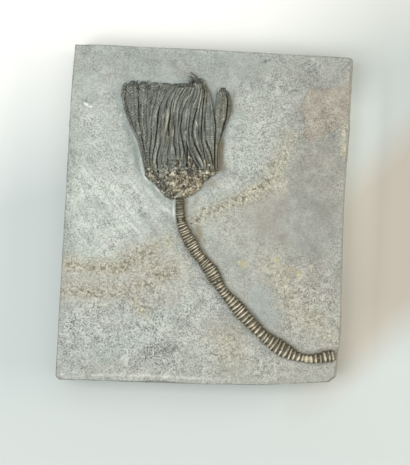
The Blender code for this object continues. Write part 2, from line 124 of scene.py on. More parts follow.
STAIN_BANDS = (              # rusty bands: half width, strength, how full of dark dots, points
    (2.2, 0.7, 0.6, ((34.5, 35.5), (31.8, 26.6), (27.4, 22.2), (30.2, 16.4), (23.6, 13.6))),
    (2.2, 1.0, 0.9, ((27.0, 15.5), (23.6, 13.6), (18.6, 10.9), (11.3, 6.7), (4.3, 3.5), (-1.9, 0.7),
        (-3.9, -1.9))),
    (2.4, 1.0, 0.6, ((-58.0, -22.9), (-49.2, -22.5), (-42.9, -23.0), (-36.6, -22.8), (-31.5, -21.0))),
    (3.6, 0.75, 0.9, ((-32.0, -18.6), (-27.0, -17.0), (-22.0, -17.8))),
    (3.4, 0.55, 0.3, ((-24.2, -17.0), (-18.1, -12.7), (-13.6, -9.9))),
    (3.8, 0.5, 0.5, ((-25.0, -23.0), (-18.0, -21.0), (-10.5, -20.0))),
    (2.6, 0.8, 0.9, ((-57.6, -33.4), (-50.0, -32.2), (-42.4, -33.5), (-34.1, -31.9), (-29.1, -30.8))),
    (2.4, 0.7, 0.9, ((-29.1, -30.8), (-21.7, -27.1), (-12.6, -23.4))),
    (1.5, 0.9, 0.9, ((-27.6, -35.8), (-24.5, -39.5))),
    (3.6, 0.6, 0.7, ((10.8, -48.8), (15.2, -52.8), (13.4, -59.2))),
    (3.8, 0.6, 0.5, ((28.9, -18.0), (33.7, -23.8), (37.4, -32.9), (44.0, -38.9), (51.4, -44.0),
        (58.3, -48.7))),
    (1.3, 0.9, 0.2, ((57.7, 41.0), (58.1, 30.0))),
)
BUFF_PATCH = (               # outline of the patch of buff rock near the top right corner
    (38.9, 49.6), (39.9, 52.6), (41.4, 55.6), (43.4, 57.2), (48.1, 56.3), (53.5, 57.6), (59.3, 58.9),
    (60, 43.8), (56.8, 40.8), (53.9, 39.8), (51, 38.2), (48.2, 35.9), (44.9, 34.1), (41.5, 34.6),
    (39.9, 38.3), (40.3, 42.1), (38.7, 45.8),
)
RUSTY_SPOTS = (              # x, y, radius
    (16.6, -17.8, 1.6), (30.4, -16.4, 1.3), (39.9, -21.4, 2.2), (46.0, -19.0, 1.4), (29.0, 19.8, 4.6),
    (26.6, 14.6, 3.6), (-1.0, 1.4, 2.6), (-21.0, -20.5, 3.6),
)
YELLOW_SPOTS = (             # greenish yellow smears: patches, and their strength
    (17.1, -19.1, 2.6, 1.6, 0.8), (31.4, -16.3, 1.8, 1.5, 0.7), (39.9, -21.8, 1.5, 1.5, 0.9),
    (37.3, -19.8, 2.0, 1.2, 0.5), (57.9, 31.1, 1.0, 3.6, 0.7),
)
WARM_PATCHES = (             # patches of warmer rock, and their strength
    (47.0, 14.0, 17.0, 26.0, 0.85), (36.0, 4.0, 24.0, 19.0, 1.0), (24.0, -4.0, 24.0, 12.0, 0.7),
    (-20.0, -26.0, 19.0, 15.0, 0.8), (12.0, -52.0, 13.0, 11.0, 0.7), (42.0, -32.0, 19.0, 22.0, 1.0),
    (-46.0, -29.0, 17.0, 10.0, 0.7), (36.0, -62.0, 24.0, 9.0, 0.7), (-30.0, -66.0, 24.0, 4.0, 0.4),
)
LIGHT_PATCHES = (            # patches, and how much lighter, or darker, the rock is there
    (-43.0, -2.0, 17.0, 28.0, 0.12), (-58.5, -2.0, 4.0, 36.0, -0.09), (-42.0, 45.0, 18.0, 20.0, 0.05),
    (48.0, 40.0, 16.0, 44.0, -0.14), (22.0, 62.0, 36.0, 9.0, -0.09), (26.0, -37.0, 10.0, 12.0, -0.05),
    (46.0, -30.0, 16.0, 26.0, -0.09), (10.0, 24.0, 9.0, 22.0, 0.02), (-16.0, -58.0, 9.0, 6.0, -0.10),
    (-36.0, -52.0, 30.0, 24.0, -0.07), (-30.0, 63.0, 34.0, 9.0, -0.11), (38.0, 0.0, 22.0, 14.0, -0.07),
    (-26.0, 22.0, 8.0, 16.0, 0.12), (46.0, 58.0, 14.0, 14.0, 0.08), (48.0, 46.0, 12.0, 12.0, -0.02),
)
ROUGH_PATCHES = (            # and where it is full of light and dark flecks
    (-42.0, 2.0, 18.0, 22.0, 0.55), (-34.0, -42.0, 27.0, 30.0, 0.5), (20.0, 34.0, 14.0, 24.0, 0.35),
    (-4.0, -58.0, 30.0, 13.0, 0.4), (-45.0, 34.0, 12.0, 18.0, 0.3), (-12.0, -34.0, 24.0, 14.0, 0.35),
    (44.0, -36.0, 14.0, 18.0, 0.3), (36.0, -58.0, 20.0, 10.0, 0.2), (-50.0, -46.0, 8.0, 9.0, 0.9),
    (-16.0, -22.0, 18.0, 8.0, 0.5),
)
CALM_PATCHES = (             # and where it is smooth and even
    (38.0, 0.0, 22.0, 15.0, 0.45), (46.0, 22.0, 12.0, 14.0, 0.3), (-6.0, 64.0, 44.0, 6.0, 0.2),
    (-18.0, 48.0, 30.0, 12.0, 0.15), (50.0, 60.0, 12.0, 10.0, 0.15), (-40.0, 58.0, 18.0, 14.0, 0.15),
)
LIGHT_STREAKS = (            # light and dark smears down the left of the face: half width, change, points
    (1.3, 0.26, ((-23.4, 9.8), (-20.3, 6.6), (-17.2, 3.3), (-13.7, 0.1))),
    (1.1, 0.24, ((-51.0, 16.9), (-45.2, 9.6), (-37.2, -0.1), (-31.1, -4.0), (-24.0, -12.1))),
    (0.8, 0.18, ((-39.4, 11.6), (-34.1, 5.9), (-28.3, -2.2))),
    (0.8, 0.18, ((-24.9, 6.4), (-21.7, 1.5), (-16.7, -6.7))),
    (1.1, 0.10, ((-56.8, 6.6), (-50.5, -4.1), (-45.2, -9.7))),
    (0.9, 0.09, ((-45.1, 26.5), (-41.4, 19.1), (-36.1, 11.7))),
    (1.4, -0.11, ((-45.9, 5.4), (-40.4, -2.8), (-34.2, -10.0))),
    (1.2, -0.10, ((-30.0, 7.8), (-24.6, -0.4), (-20.0, -8.6))),
)
HOLLOW_PLACES = (            # where the rock beside the crown is cut deepest
    (-29.0, 27.0, 8.0, 13.0, 1.0), (-22.0, 13.0, 8.0, 7.0, 0.7), (6.5, 26.0, 6.0, 11.0, 1.0),
    (10.0, 50.0, 4.0, 9.0, 0.6),
)
BROWN_SHADE_PLACES = (             # where the rock beside the fossil is painted brown, partly stain and partly painted shadow
    (-8.5, 3.6, 1.5, 5.2, 0.85), (5.7, 27.4, 2.3, 8.0, 1.0), (5.5, 22.0, 2.4, 2.4, 0.8),
    (2.1, 14.3, 3.4, 1.6, 0.5), (-2.6, -6.6, 2.0, 4.6, 0.85), (-0.4, -10.6, 1.6, 2.4, 0.5),
    (-3.9, 7.7, 1.0, 3.0, 0.5), (9.6, 47.9, 1.2, 6.0, 0.6),
)
COMBED_PATCHES = (           # where it was scraped along lines that fall to the right
    (-42.0, 6.0, 20.0, 34.0, 1.0), (-6.0, -52.0, 46.0, 16.0, 0.7), (20.0, 30.0, 14.0, 20.0, 0.3),
)
# The lips are partly pale rock and partly a painted highlight on their slopes that face the light.
PALE_LIT_LIPS = (                # white broken lips of rock beside the fossil: half width, strength, points
    (0.32, 1.0, ((-28.2, 25.5), (-27.8, 22.2), (-27.0, 18.9), (-25.7, 16.0), (-24.0, 13.8), (-22.2, 12.2))),
    (0.30, 1.0, ((-22.2, 12.8), (-20.7, 11.4), (-18.9, 9.6), (-17.4, 8.0))),
    (0.45, 0.75, ((-18.2, 3.5), (-16.7, 2.8), (-15.0, 2.2), (-13.9, 1.2))),
    (0.30, 0.6, ((-16.5, 6.3), (-15.1, 4.9), (-14.1, 3.9))),
    (0.26, 0.6, ((-31.4, 33.1), (-30, 31.3), (-28.7, 29.6))),
    (0.55, 1.0, ((-13.0, 7.3), (-13.0, 4.0), (-12.8, 0.6), (-12.1, -2.3))),
    (0.36, 0.5, ((-11.6, -3.1), (-10.0, -6.8), (-8.1, -10.5))),
    (0.36, 0.6, ((8.9, -32.9), (12.4, -36.5), (15.0, -38.9))),
    (0.42, 0.6, ((26.5, -51.9), (30.5, -55.0), (34.8, -57.4), (39.5, -59.7))),
    (0.60, 0.40, ((-56.8, -69.3), (-45.0, -68.3), (-32.5, -67.6), (-19.9, -67.4), (-3.0, -67.5),
        (14.6, -67.5))),
)
SMOOTH_PATCHES = (           # where the rock was scraped smooth
    (26.0, -34.5, 7.5, 8.5, 1.0), (31.0, -40.5, 5.5, 4.5, 0.9), (42.0, 2.5, 10.0, 14.0, 0.55),
    (-27.5, 28.0, 3.6, 11.0, 0.9), (-22.5, 14.0, 4.0, 6.0, 0.8), (5.0, 22.0, 3.5, 6.0, 0.8),
)
SCRATCHES = (                # pale scratches: half width, depth, points
    (0.35, 0.10, ((-43.5, 11.8), (-38.9, 5.6), (-35.6, 1.7), (-29.0, -5.6), (-24.1, -10.4))),
    (0.30, 0.08, ((-40.0, 11.0), (-33.0, 3.0), (-27.0, -3.4))),
    (0.30, 0.09, ((-30.6, 12.4), (-26.0, 5.0), (-21.0, -3.0), (-18.0, -9.0))),
    (0.30, 0.07, ((-27.0, 9.0), (-21.6, 1.6))),
    (0.40, 0.10, ((-51.2, 20.7), (-46.7, 14.6))),
    (0.30, 0.10, ((-40.2, 28.4), (-37.4, 21.0))),
)
CRACKS = (                   # thin dark marks: half width, depth, points
    (0.26, 0.16, ((-12.5, -57.4), (-11.5, -56.7), (-10.5, -56.1), (-9.6, -55.4))),
    (0.24, 0.14, ((-6.0, -57.3), (-4.7, -57.5), (-3.7, -57.9))),
    (0.22, 0.12, ((-7.2, -63.5), (-6.1, -64.7), (-4.8, -65.0))),
    (0.26, 0.16, ((32.8, 53.5), (33.6, 54.6), (34.5, 55.1), (36.1, 55.1), (37.5, 54.7), (38.1, 53.9))),
    (0.26, 0.14, ((38, 51.4), (38.8, 50.2), (40.4, 48.9))),
    (0.24, 0.12, ((42, 56.5), (43.1, 55.3), (44.1, 55.9))),
    (0.26, 0.16, ((54.8, 64.2), (55.9, 65.5), (57.5, 66.9))),
    (0.20, 0.10, ((36.7, 65.7), (39.3, 66), (41.8, 66.2))),
    (0.18, 0.08, ((48.2, -27.6), (46.6, -31.0), (43.8, -34.2))),
    (0.16, 0.10, ((43.3, -30.3), (43.8, -28.6), (45.4, -27.7), (47.3, -27.7), (48.3, -28.7), (47.8, -30.4),
        (46.2, -31.5), (44.3, -31.5), (43.3, -30.4))),
    (0.20, 0.10, ((-59.1, -69.2), (-56.3, -70.5), (-51.2, -70.9))),
)
PITS = (                     # x, y, radius, depth, how dark
    (22.6, 66.9, 1.3, 0.45, 1.0), (24.2, 67.3, 0.8, 0.35, 0.9), (21.0, 66.4, 0.6, 0.2, 0.5),
    (-9.9, -54.8, 0.9, 0.35, 1.0), (-14.0, -56.6, 1.7, 0.3, 0.6), (-10.9, -56.4, 1.4, 0.3, 0.5),
    (-5.2, -56.7, 1.0, 0.3, 0.7), (-3.4, -59.0, 0.8, 0.25, 0.5), (-6.6, -60.6, 1.2, 0.3, 0.6),
    (-8.9, -61.8, 0.9, 0.25, 0.6), (-12.4, -62.4, 1.0, 0.25, 0.4), (-17.2, -57.8, 1.2, 0.2, 0.4),
    (-31.9, 60.2, 0.5, 0.25, 0.8), (-30.4, 58.4, 0.6, 0.15, 0.3), (4.4, -38.6, 0.8, 0.3, 0.8),
    (-33.4, -11.8, 0.7, 0.2, 0.5), (20.3, -27.2, 0.6, 0.2, 0.5), (-52.4, -34.8, 0.6, 0.2, 0.5),
    (29.0, -20.0, 0.6, 0.2, 0.5), (-52.1, 46.7, 1.0, 0.35, 0.9), (-53.6, 47.0, 1.0, 0.2, 0.5),
    (-50.2, 46.0, 0.8, 0.2, 0.5),
)
FLAKES = (                   # fresh white chips: x, y, length, width, turn
    (-51.8, 45.5, 1.5, 0.55, -0.45), (-50.0, 44.5, 1.0, 0.5, -0.5), (-57.0, -68.6, 0.9, 0.4, 0.0),
    (-37.0, 41.5, 0.6, 0.4, 0.9),
)

SCRATCH_TURN = math.radians(52)      # the slab was scraped along lines that fall to the right

# ---------------------------------------------------------------- lines and noise


def curve_through(points, steps=12):
    """A dense line on the Catmull-Rom curve through the given points."""
    points = np.array(points, float)
    points = np.vstack([2 * points[0] - points[1], points, 2 * points[-1] - points[-2]])
    t = np.arange(steps)[:, None] / steps
    pieces = []
    for before, start, end, after in zip(points, points[1:], points[2:], points[3:]):
        bend = 2 * before - 5 * start + 4 * end - after
        twist = 3 * start - before - 3 * end + after
        pieces.append(start + ((end - before) * t + bend * t**2 + twist * t**3) / 2)
    return np.vstack([*pieces, points[-2:-1]])


def lengths_along(line):
    """Length along a line, seen from above, up to each of its points."""
    steps = np.hypot(*np.diff(line[:, :2], axis=0).T)
    return np.concatenate([[0.0], np.cumsum(steps)])


def evenly(line, shares):
    """The points of a line at the given shares of its length."""
    passed = lengths_along(line)
    places = np.asarray(shares) * passed[-1]
    return np.stack([np.interp(places, passed, values) for values in line.T], axis=1)


def nearest(places, line):
    """How far each place is from a line, and the length along the line up to its nearest point."""
    best = np.full(len(places), np.inf)
    along = np.zeros(len(places))
    passed = 0.0
    for start, end in zip(line[:, :2], line[1:, :2]):
        span = end - start
        length = math.hypot(*span)
        share = np.clip((places - start) @ span / max(length, 1e-9)**2, 0.0, 1.0)
        off = np.hypot(*(start + share[:, None] * span - places).T)
        closer = off < best
        best[closer] = off[closer]
        along[closer] = passed + share[closer] * length
        passed += length
    return best, along


def inside(places, outline):
    """Whether each place lies inside a closed outline."""
    crossings = np.zeros(len(places), int)
    for start, end in zip(outline, np.roll(outline, -1, axis=0)):
        if start[1] == end[1]:
            continue
        spans = (start[1] > places[:, 1]) != (end[1] > places[:, 1])
        share = (places[:, 1] - start[1]) / (end[1] - start[1])
        crossings += spans & (places[:, 0] < start[0] + share * (end[0] - start[0]))
    return crossings % 2 == 1


def distance_outside(places, outline):
    """Signed distance from a closed outline, negative inside it."""
    off, _ = nearest(places, np.vstack([outline, outline[:1]]))
    return np.where(inside(places, outline), -off, off)


def lumps(places, size, seed, stretch=1.0):
    """Smooth noise from about -1 to 1, with lumps of the given size, wider in x by the stretch."""
    shift = 17.3 * seed
    scaled = np.array(places) / size
    scaled[:, 0] = places[:, 0] / size / stretch + shift
    if places.shape[1] == 2:
        scaled = np.column_stack([scaled, np.full(len(scaled), shift)])
    return np.array([noise.noise(place) for place in scaled.tolist()])


def eased(values, low, high):
    """0 below the low value, 1 above the high one, and a smooth step between them."""
    t = np.clip((values - low) / (high - low), 0.0, 1.0)
    return t * t * (3 - 2 * t)


def dome(values, width):
    """1 at 0, falling smoothly to nothing on both sides."""
    return np.exp(-(values / width)**2)


# ---------------------------------------------------------------- meshes


def grid_faces(rows, columns, closed=False):
    """Quads of a grid of points, row after row. A closed one joins the last column to the first."""
    index = np.arange(rows * columns).reshape(rows, columns)
    if closed:
        index = np.hstack([index, index[:, :1]])
    corners = (index[:-1, :-1], index[:-1, 1:], index[1:, 1:], index[1:, :-1])
    return np.stack([corner.ravel() for corner in corners], axis=1).tolist()


def band_faces(above, below):
    """Quads between two closed rings of points."""
    return np.stack([above, np.roll(above, -1), np.roll(below, -1), below], axis=1).tolist()


def filled(edge, within):
    """The edges of a closed outline, and triangles that fill it. The places within count on from its own."""
    corners = [Vector(place) for place in (*edge.tolist(), *within.tolist())]
    edges = [(start, (start + 1) % len(edge)) for start in range(len(edge))]
    _, _, triangles, *_ = delaunay_2d_cdt(corners, edges, [], 1, CDT_TOLERANCE)
    return edges, [list(triangle) for triangle in triangles]


def piece(name, points, faces, look, nodes, marks, smooth_under):
    """A closed piece that rides on the slab. Its marks are numbers at its points that its material reads."""
    mesh = bpy.data.meshes.new(name)
    mesh.from_pydata((np.asarray(points) * MM).tolist(), [], faces)
    body = bmesh.new()
    body.from_mesh(mesh)
    bmesh.ops.recalc_face_normals(body, faces=body.faces)
    body.to_mesh(mesh)
    body.free()
    for key, values in marks.items():
        mesh.attributes.new(key, "FLOAT", "POINT").data.foreach_set("value", np.asarray(values, np.float32))
    mesh.shade_smooth()
    mesh.set_sharp_from_angle(angle=math.radians(smooth_under))
    mesh.materials.append(look)
    made = bpy.data.objects.new(name, mesh)
    bpy.context.scene.collection.objects.link(made)
    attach(made, "root")
    if nodes:
        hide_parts(*nodes)


def lofted(rings):
    """Points and faces of a closed body through rings of points, with a cap at each end."""
    rings = np.asarray(rings)
    count, around, _ = rings.shape
    faces = grid_faces(count, around, closed=True)
    faces.append(list(range(around)))
    faces.append(list(range((count - 1) * around, count * around)))
    return rings.reshape(-1, 3), faces


# ---------------------------------------------------------------- materials


def node(tree, kind, inputs=None, **settings):
    """A new node with its settings, and with its inputs set or linked."""
    made = tree.nodes.new(kind)
    for key, value in settings.items():
        setattr(made, key, value)
    for key, value in (inputs or {}).items():
        if isinstance(value, bpy.types.NodeSocket):
            tree.links.new(value, made.inputs[key])
        else:
            made.inputs[key].default_value = value
    return made


def grain(tree, size, detail=3.0, roughness=0.6, distortion=0.0):
    """Noise from 0 to 1 with grains of the given size, fixed in the piece."""
    place = node(tree, "ShaderNodeTexCoord").outputs["Object"]
    inputs = {"Vector": place, "Scale": 1 / (size * MM), "Detail": detail, "Roughness": roughness,
              "Distortion": distortion}
    return node(tree, "ShaderNodeTexNoise", inputs).outputs["Fac"]


def scratches(tree, size, length, turn):
    """Noise drawn out along one direction across the face: streaks of the given width and length."""
    place = node(tree, "ShaderNodeTexCoord").outputs["Object"]
    rotated = node(tree, "ShaderNodeVectorRotate", {"Vector": place, "Angle": turn}, rotation_type="Z_AXIS")
    scales = (1 / (length * MM), 1 / (size * MM), 1 / (size * MM))
    drawn = node(tree, "ShaderNodeVectorMath", {0: rotated.outputs[0], 1: scales}, operation="MULTIPLY")
    inputs = {"Vector": drawn.outputs[0], "Scale": 1.0, "Detail": 2.0}
    return node(tree, "ShaderNodeTexNoise", inputs).outputs["Fac"]


def mark(tree, name):
    """The mark of that name at the piece's points."""
    return node(tree, "ShaderNodeAttribute", attribute_name=name).outputs["Fac"]


def maths(tree, operation, first, second=0.0):
    return node(tree, "ShaderNodeMath", {0: first, 1: second}, operation=operation).outputs[0]


def product(tree, first, second):
    return maths(tree, "MULTIPLY", first, second)


def added(tree, *values):
    """The sum of several numbers."""
    total = values[0]
    for value in values[1:]:
        total = maths(tree, "ADD", total, value)
    return total


def ranged(tree, value, low, high, out_low=0.0, out_high=1.0):
    """The value carried from one range to another, and kept within it."""
    inputs = {"Value": value, "From Min": low, "From Max": high, "To Min": out_low, "To Max": out_high}
    return node(tree, "ShaderNodeMapRange", inputs).outputs["Result"]


def swayed(tree, value, reach):
    """Noise carried to numbers between minus and plus the reach."""
    return ranged(tree, value, 0.3, 0.7, -reach, reach)


def patchy_mark(tree, name, grains, span, strengths):
    """A mark broken up by noise, whose strength grows as the noise crosses its span."""
    return product(tree, mark(tree, name), ranged(tree, grain(tree, *grains), *span, *strengths))


def mixed(tree, factor, first, second, blend="MIX"):
    """Two colours mixed, the second one by the factor."""
    made = node(tree, "ShaderNodeMix", {0: factor}, data_type="RGBA", blend_type=blend)
    for socket, value in ((made.inputs[6], first), (made.inputs[7], second)):
        if isinstance(value, bpy.types.NodeSocket):
            tree.links.new(value, socket)
        else:
            socket.default_value = (*value, 1.0)
    return made.outputs[2]


def shaded(tree, colour, amount):
    """A colour made lighter or darker by a number that is 1 where it stays as it is."""
    grey = node(tree, "ShaderNodeCombineColor", {0: amount, 1: amount, 2: amount}).outputs[0]
    return mixed(tree, 1.0, colour, grey, "MULTIPLY")


def toned(tree, colour, factor, tone):
    """A colour multiplied by a tone, as far as the factor says."""
    return mixed(tree, factor, colour, mixed(tree, 1.0, colour, tone, "MULTIPLY"))


def tinted(tree, colour, tints):
    """A colour with others over it, each where its patchy mark is."""
    for name, grains, span, strengths, tone in tints:
        colour = mixed(tree, patchy_mark(tree, name, grains, span, strengths), colour, tone)
    return colour


def material(name, roughness, specular):
    made = bpy.data.materials.new(name)
    made.use_nodes = True
    shader = made.node_tree.nodes["Principled BSDF"]
    shader.inputs["Roughness"].default_value = roughness
    shader.inputs["Specular IOR Level"].default_value = specular
    return made, made.node_tree, shader


def bumped(tree, shader, layers):
    """Fine relief on a shader: each layer is a height from 0 to 1 and how high that is in millimetres."""
    total = added(tree, *(product(tree, height, depth * MM) for height, depth in layers))
    bump = node(tree, "ShaderNodeBump", {"Height": total, "Distance": 1.0, "Strength": 1.0})
    tree.links.new(bump.outputs["Normal"], shader.inputs["Normal"])


STONE_GROUNDS = ((0.394, 0.437, 0.408), (0.405, 0.431, 0.408))
STONE_TINTS = (              # mark, its noise's size, detail and roughness, span, strengths, colour
    ("warm", (2.2, 4.0, 0.7), (0.3, 0.6), (0.6, 1.0), (0.402, 0.390, 0.352)),
    ("buff", (1.6, 4.0, 0.8), (0.3, 0.6), (0.4, 1.0), (0.440, 0.395, 0.325)),
)
STONE_SMOOTH, STONE_VEIN = (0.385, 0.44, 0.43), (0.62, 0.66, 0.62)
STONE_FLECKS = (             # white dust and dark holes: noises, sway, span, strength, colour
    ((0.85, 2.0, 0.7, 0.4), (6.0, 3.0), 0.09, (0.56, 0.66), 0.85, (0.67, 0.70, 0.65)),
    ((0.75, 1.0, 0.7, 0.4), (7.0, 2.0), 0.08, (0.60, 0.68), 0.35, (0.15, 0.16, 0.145)),
)
STONE_STAINS = (             # as the tints: rust, yellow smears, and the pale and dark dots in the rust
    ("stain", (2.6, 4.0, 0.8), (0.35, 0.60), (0.2, 0.9), (0.345, 0.333, 0.265)),
    ("yellow", (1.6, 3.0), (0.35, 0.55), (0.3, 0.8), (0.45, 0.42, 0.24)),
    ("stain", (1.15, 3.0, 0.8, 0.4), (0.52, 0.60), (0.0, 0.9), (0.66, 0.635, 0.51)),
    ("dots", (1.5, 3.0, 0.7, 0.5), (0.51, 0.58), (0.0, 0.9), (0.125, 0.118, 0.083)),
)
# brown is partly rust and partly painted shadow; dark carries a little painted shadow beside the stem; side
# is partly darker broken rock and partly painted shade; pale carries painted highlights on lips
STONE_MARKS = (              # mark, strength, colour
    ("brown", 0.85, (0.235, 0.205, 0.145)), ("dark", 0.8, (0.09, 0.095, 0.08)),
    ("side", 0.62, (0.20, 0.20, 0.17)), ("pale", 1.0, (0.80, 0.83, 0.78)),
)


def stone_shade(tree, rough):
    """How light the rock is: soft clouds, and mottle, flecks and scraped lines where it is rough."""
    cloud = swayed(tree, grain(tree, 5.5, 4.0, 0.65), 0.12)
    mottle = swayed(tree, grain(tree, 2.2, 4.0, 0.7), 0.13)
    fleck = ranged(tree, grain(tree, 0.64, 1.0, 0.6), 0.30, 0.70, -0.38, 0.48)
    combed = swayed(tree, scratches(tree, 0.55, 5.0, SCRATCH_TURN), 0.20)
    combed = product(tree, combed, mark(tree, "combed"))
    grains = product(tree, added(tree, mottle, fleck, combed), rough)
    return added(tree, grains, added(tree, cloud, mark(tree, "light")))


def stone_flecks(tree, colour, rough):
    """A colour with white dust, small dark holes and flaked veins where the rock is rough."""
    salted = ranged(tree, rough, 0.7, 1.4)
    for fine, coarse, sway, span, strength, tone in STONE_FLECKS:
        flecks = added(tree, grain(tree, *fine), swayed(tree, grain(tree, *coarse), sway))
        flecks = product(tree, ranged(tree, flecks, *span), salted)
        colour = mixed(tree, product(tree, flecks, strength), colour, tone)
    ridge = maths(tree, "ABSOLUTE", maths(tree, "SUBTRACT", grain(tree, 4.6, 4.0, 0.62, 0.8), 0.5))
    places = ranged(tree, grain(tree, 3.4, 2.0), 0.44, 0.54)
    veins = product(tree, ranged(tree, ridge, 0.01, 0.06, 1.0, 0.0), places)
    veins = product(tree, veins, ranged(tree, rough, 0.5, 1.1, 0.1, 0.6))
    return mixed(tree, veins, colour, STONE_VEIN)


def siltstone():
    """Pale grey siltstone: sharp light and dark grains, rusty speckled bands, scraped patches and scars."""
    made, tree, shader = material("siltstone", 0.9, 0.2)
    rough = mark(tree, "rough")
    colour = mixed(tree, ranged(tree, grain(tree, 13.0, 2.0), 0.4, 0.6), *STONE_GROUNDS)
    colour = tinted(tree, colour, STONE_TINTS)
    colour = mixed(tree, product(tree, mark(tree, "smooth"), 0.65), colour, STONE_SMOOTH)
    colour = shaded(tree, colour, stone_shade(tree, rough))
    colour = stone_flecks(tree, colour, rough)
    colour = tinted(tree, colour, STONE_STAINS)
    for name, strength, tone in STONE_MARKS:
        colour = mixed(tree, product(tree, mark(tree, name), strength), colour, tone)
    tree.links.new(colour, shader.inputs["Base Color"])
    rough_grain = product(tree, grain(tree, 0.8, 3.0, 0.8), rough)
    bumped(tree, shader, ((rough_grain, 0.30), (grain(tree, 0.25, 2.0, 0.6), 0.03)))
    return made


CALCITES = {                 # colours of seams, plates, crests, pale calcite and painted glints, warmth, roughness, speckle
    "arm_calcite": ((0.024, 0.026, 0.020), (0.124, 0.138, 0.119), (0.34, 0.362, 0.325), (0.68, 0.64, 0.48),
                    (1.22, 1.0, 0.76), 0.5, 0.18),
    "calyx_calcite": ((0.060, 0.056, 0.043), (0.262, 0.262, 0.216), (0.52, 0.515, 0.44), (0.78, 0.735, 0.59),
                      (1.17, 1.0, 0.80), 0.42, 0.30),
    "stem_calcite": ((0.042, 0.036, 0.022), (0.238, 0.238, 0.180), (0.535, 0.52, 0.43), (0.92, 0.86, 0.76),
                     (1.20, 1.0, 0.80), 0.36, 0.22),
}


def calcite(name, dark, middle, light, worn, warm, roughness, speckle):
    """Fossil calcite: dark in its seams and lighter and glossier on its crests, with some warm plates."""
    made, tree, shader = material(name, roughness, 0.5)
    speckles = ranged(tree, grain(tree, 0.66, 2.0, 0.7), 0.25, 0.75, -speckle, speckle)
    crest = added(tree, mark(tree, "crest"), speckles)
    # the crest mark paints seams dark and crests light, partly the calcite's own tones and partly painted
    # shade and painted highlight
    colour = mixed(tree, ranged(tree, crest, 0.08, 0.5), dark, middle)
    colour = mixed(tree, ranged(tree, crest, 0.55, 1.0), colour, light)
    colour = toned(tree, colour, patchy_mark(tree, "warm", (2.2, 3.0), (0.3, 0.65), (0.24, 0.8)), warm)
    # the cream mark paints pale worn calcite on the arms and calyx, and painted glints on the stem
    colour = mixed(tree, patchy_mark(tree, "cream", (0.7, 3.0), (0.3, 0.5), (0.5, 1.0)), colour, worn)
    tree.links.new(colour, shader.inputs["Base Color"])
    gloss = ranged(tree, crest, 0.2, 0.9, roughness + 0.25, roughness)
    tree.links.new(gloss, shader.inputs["Roughness"])
    bumped(tree, shader, ((grain(tree, 0.5, 3.0, 0.7), 0.10), (grain(tree, 0.2, 2.0), 0.03)))
    return made


# ---------------------------------------------------------------- the fossil's lines


def groove_lines(grooves):
    return [curve_through([start, *zip(places, GROOVE_HEIGHTS), end]) for start, places, end in grooves]


LEFT, RIGHT, APART = groove_lines(LEFT_GROOVES), groove_lines(RIGHT_GROOVES), groove_lines(APART_GROOVES)
CALYX_UPPER = [line[0] for line in (*LEFT, *RIGHT, *APART)]
STEM_LINE = curve_through(STEM_ROUTE)


def fossil_outlines():
    """The closed outlines of the crown's main body, of the arm that stands apart, and of the calyx."""
    tips = [line[-1] for line in (*LEFT[1:], *RIGHT[1:-1])]
    crown = np.vstack([LEFT[0], tips, RIGHT[-1][::-1]])
    apart = np.vstack([APART[0], APART[1][::-1]])
    calyx = np.vstack([CALYX_LOWER_EDGE, CALYX_UPPER[::-1]])
    return crown, apart, calyx


def stem_side(places):
    """Which side of the stem each place is on: positive above it and to its right."""
    line = STEM_LINE[:, :2]
    found = np.array([int(np.argmin(np.hypot(*(line - place).T))) for place in places])
    found = np.clip(found, 1, len(line) - 2)
    ahead = line[found + 1] - line[found - 1]
    off = places - line[found]
    return ahead[:, 0] * off[:, 1] - ahead[:, 1] * off[:, 0]


def stem_distance(places):
    """How far each place is from the stem's side, negative on it."""
    off, along = nearest(places, STEM_LINE)
    return off - np.interp(along, lengths_along(STEM_LINE), STEM_LINE[:, 2])
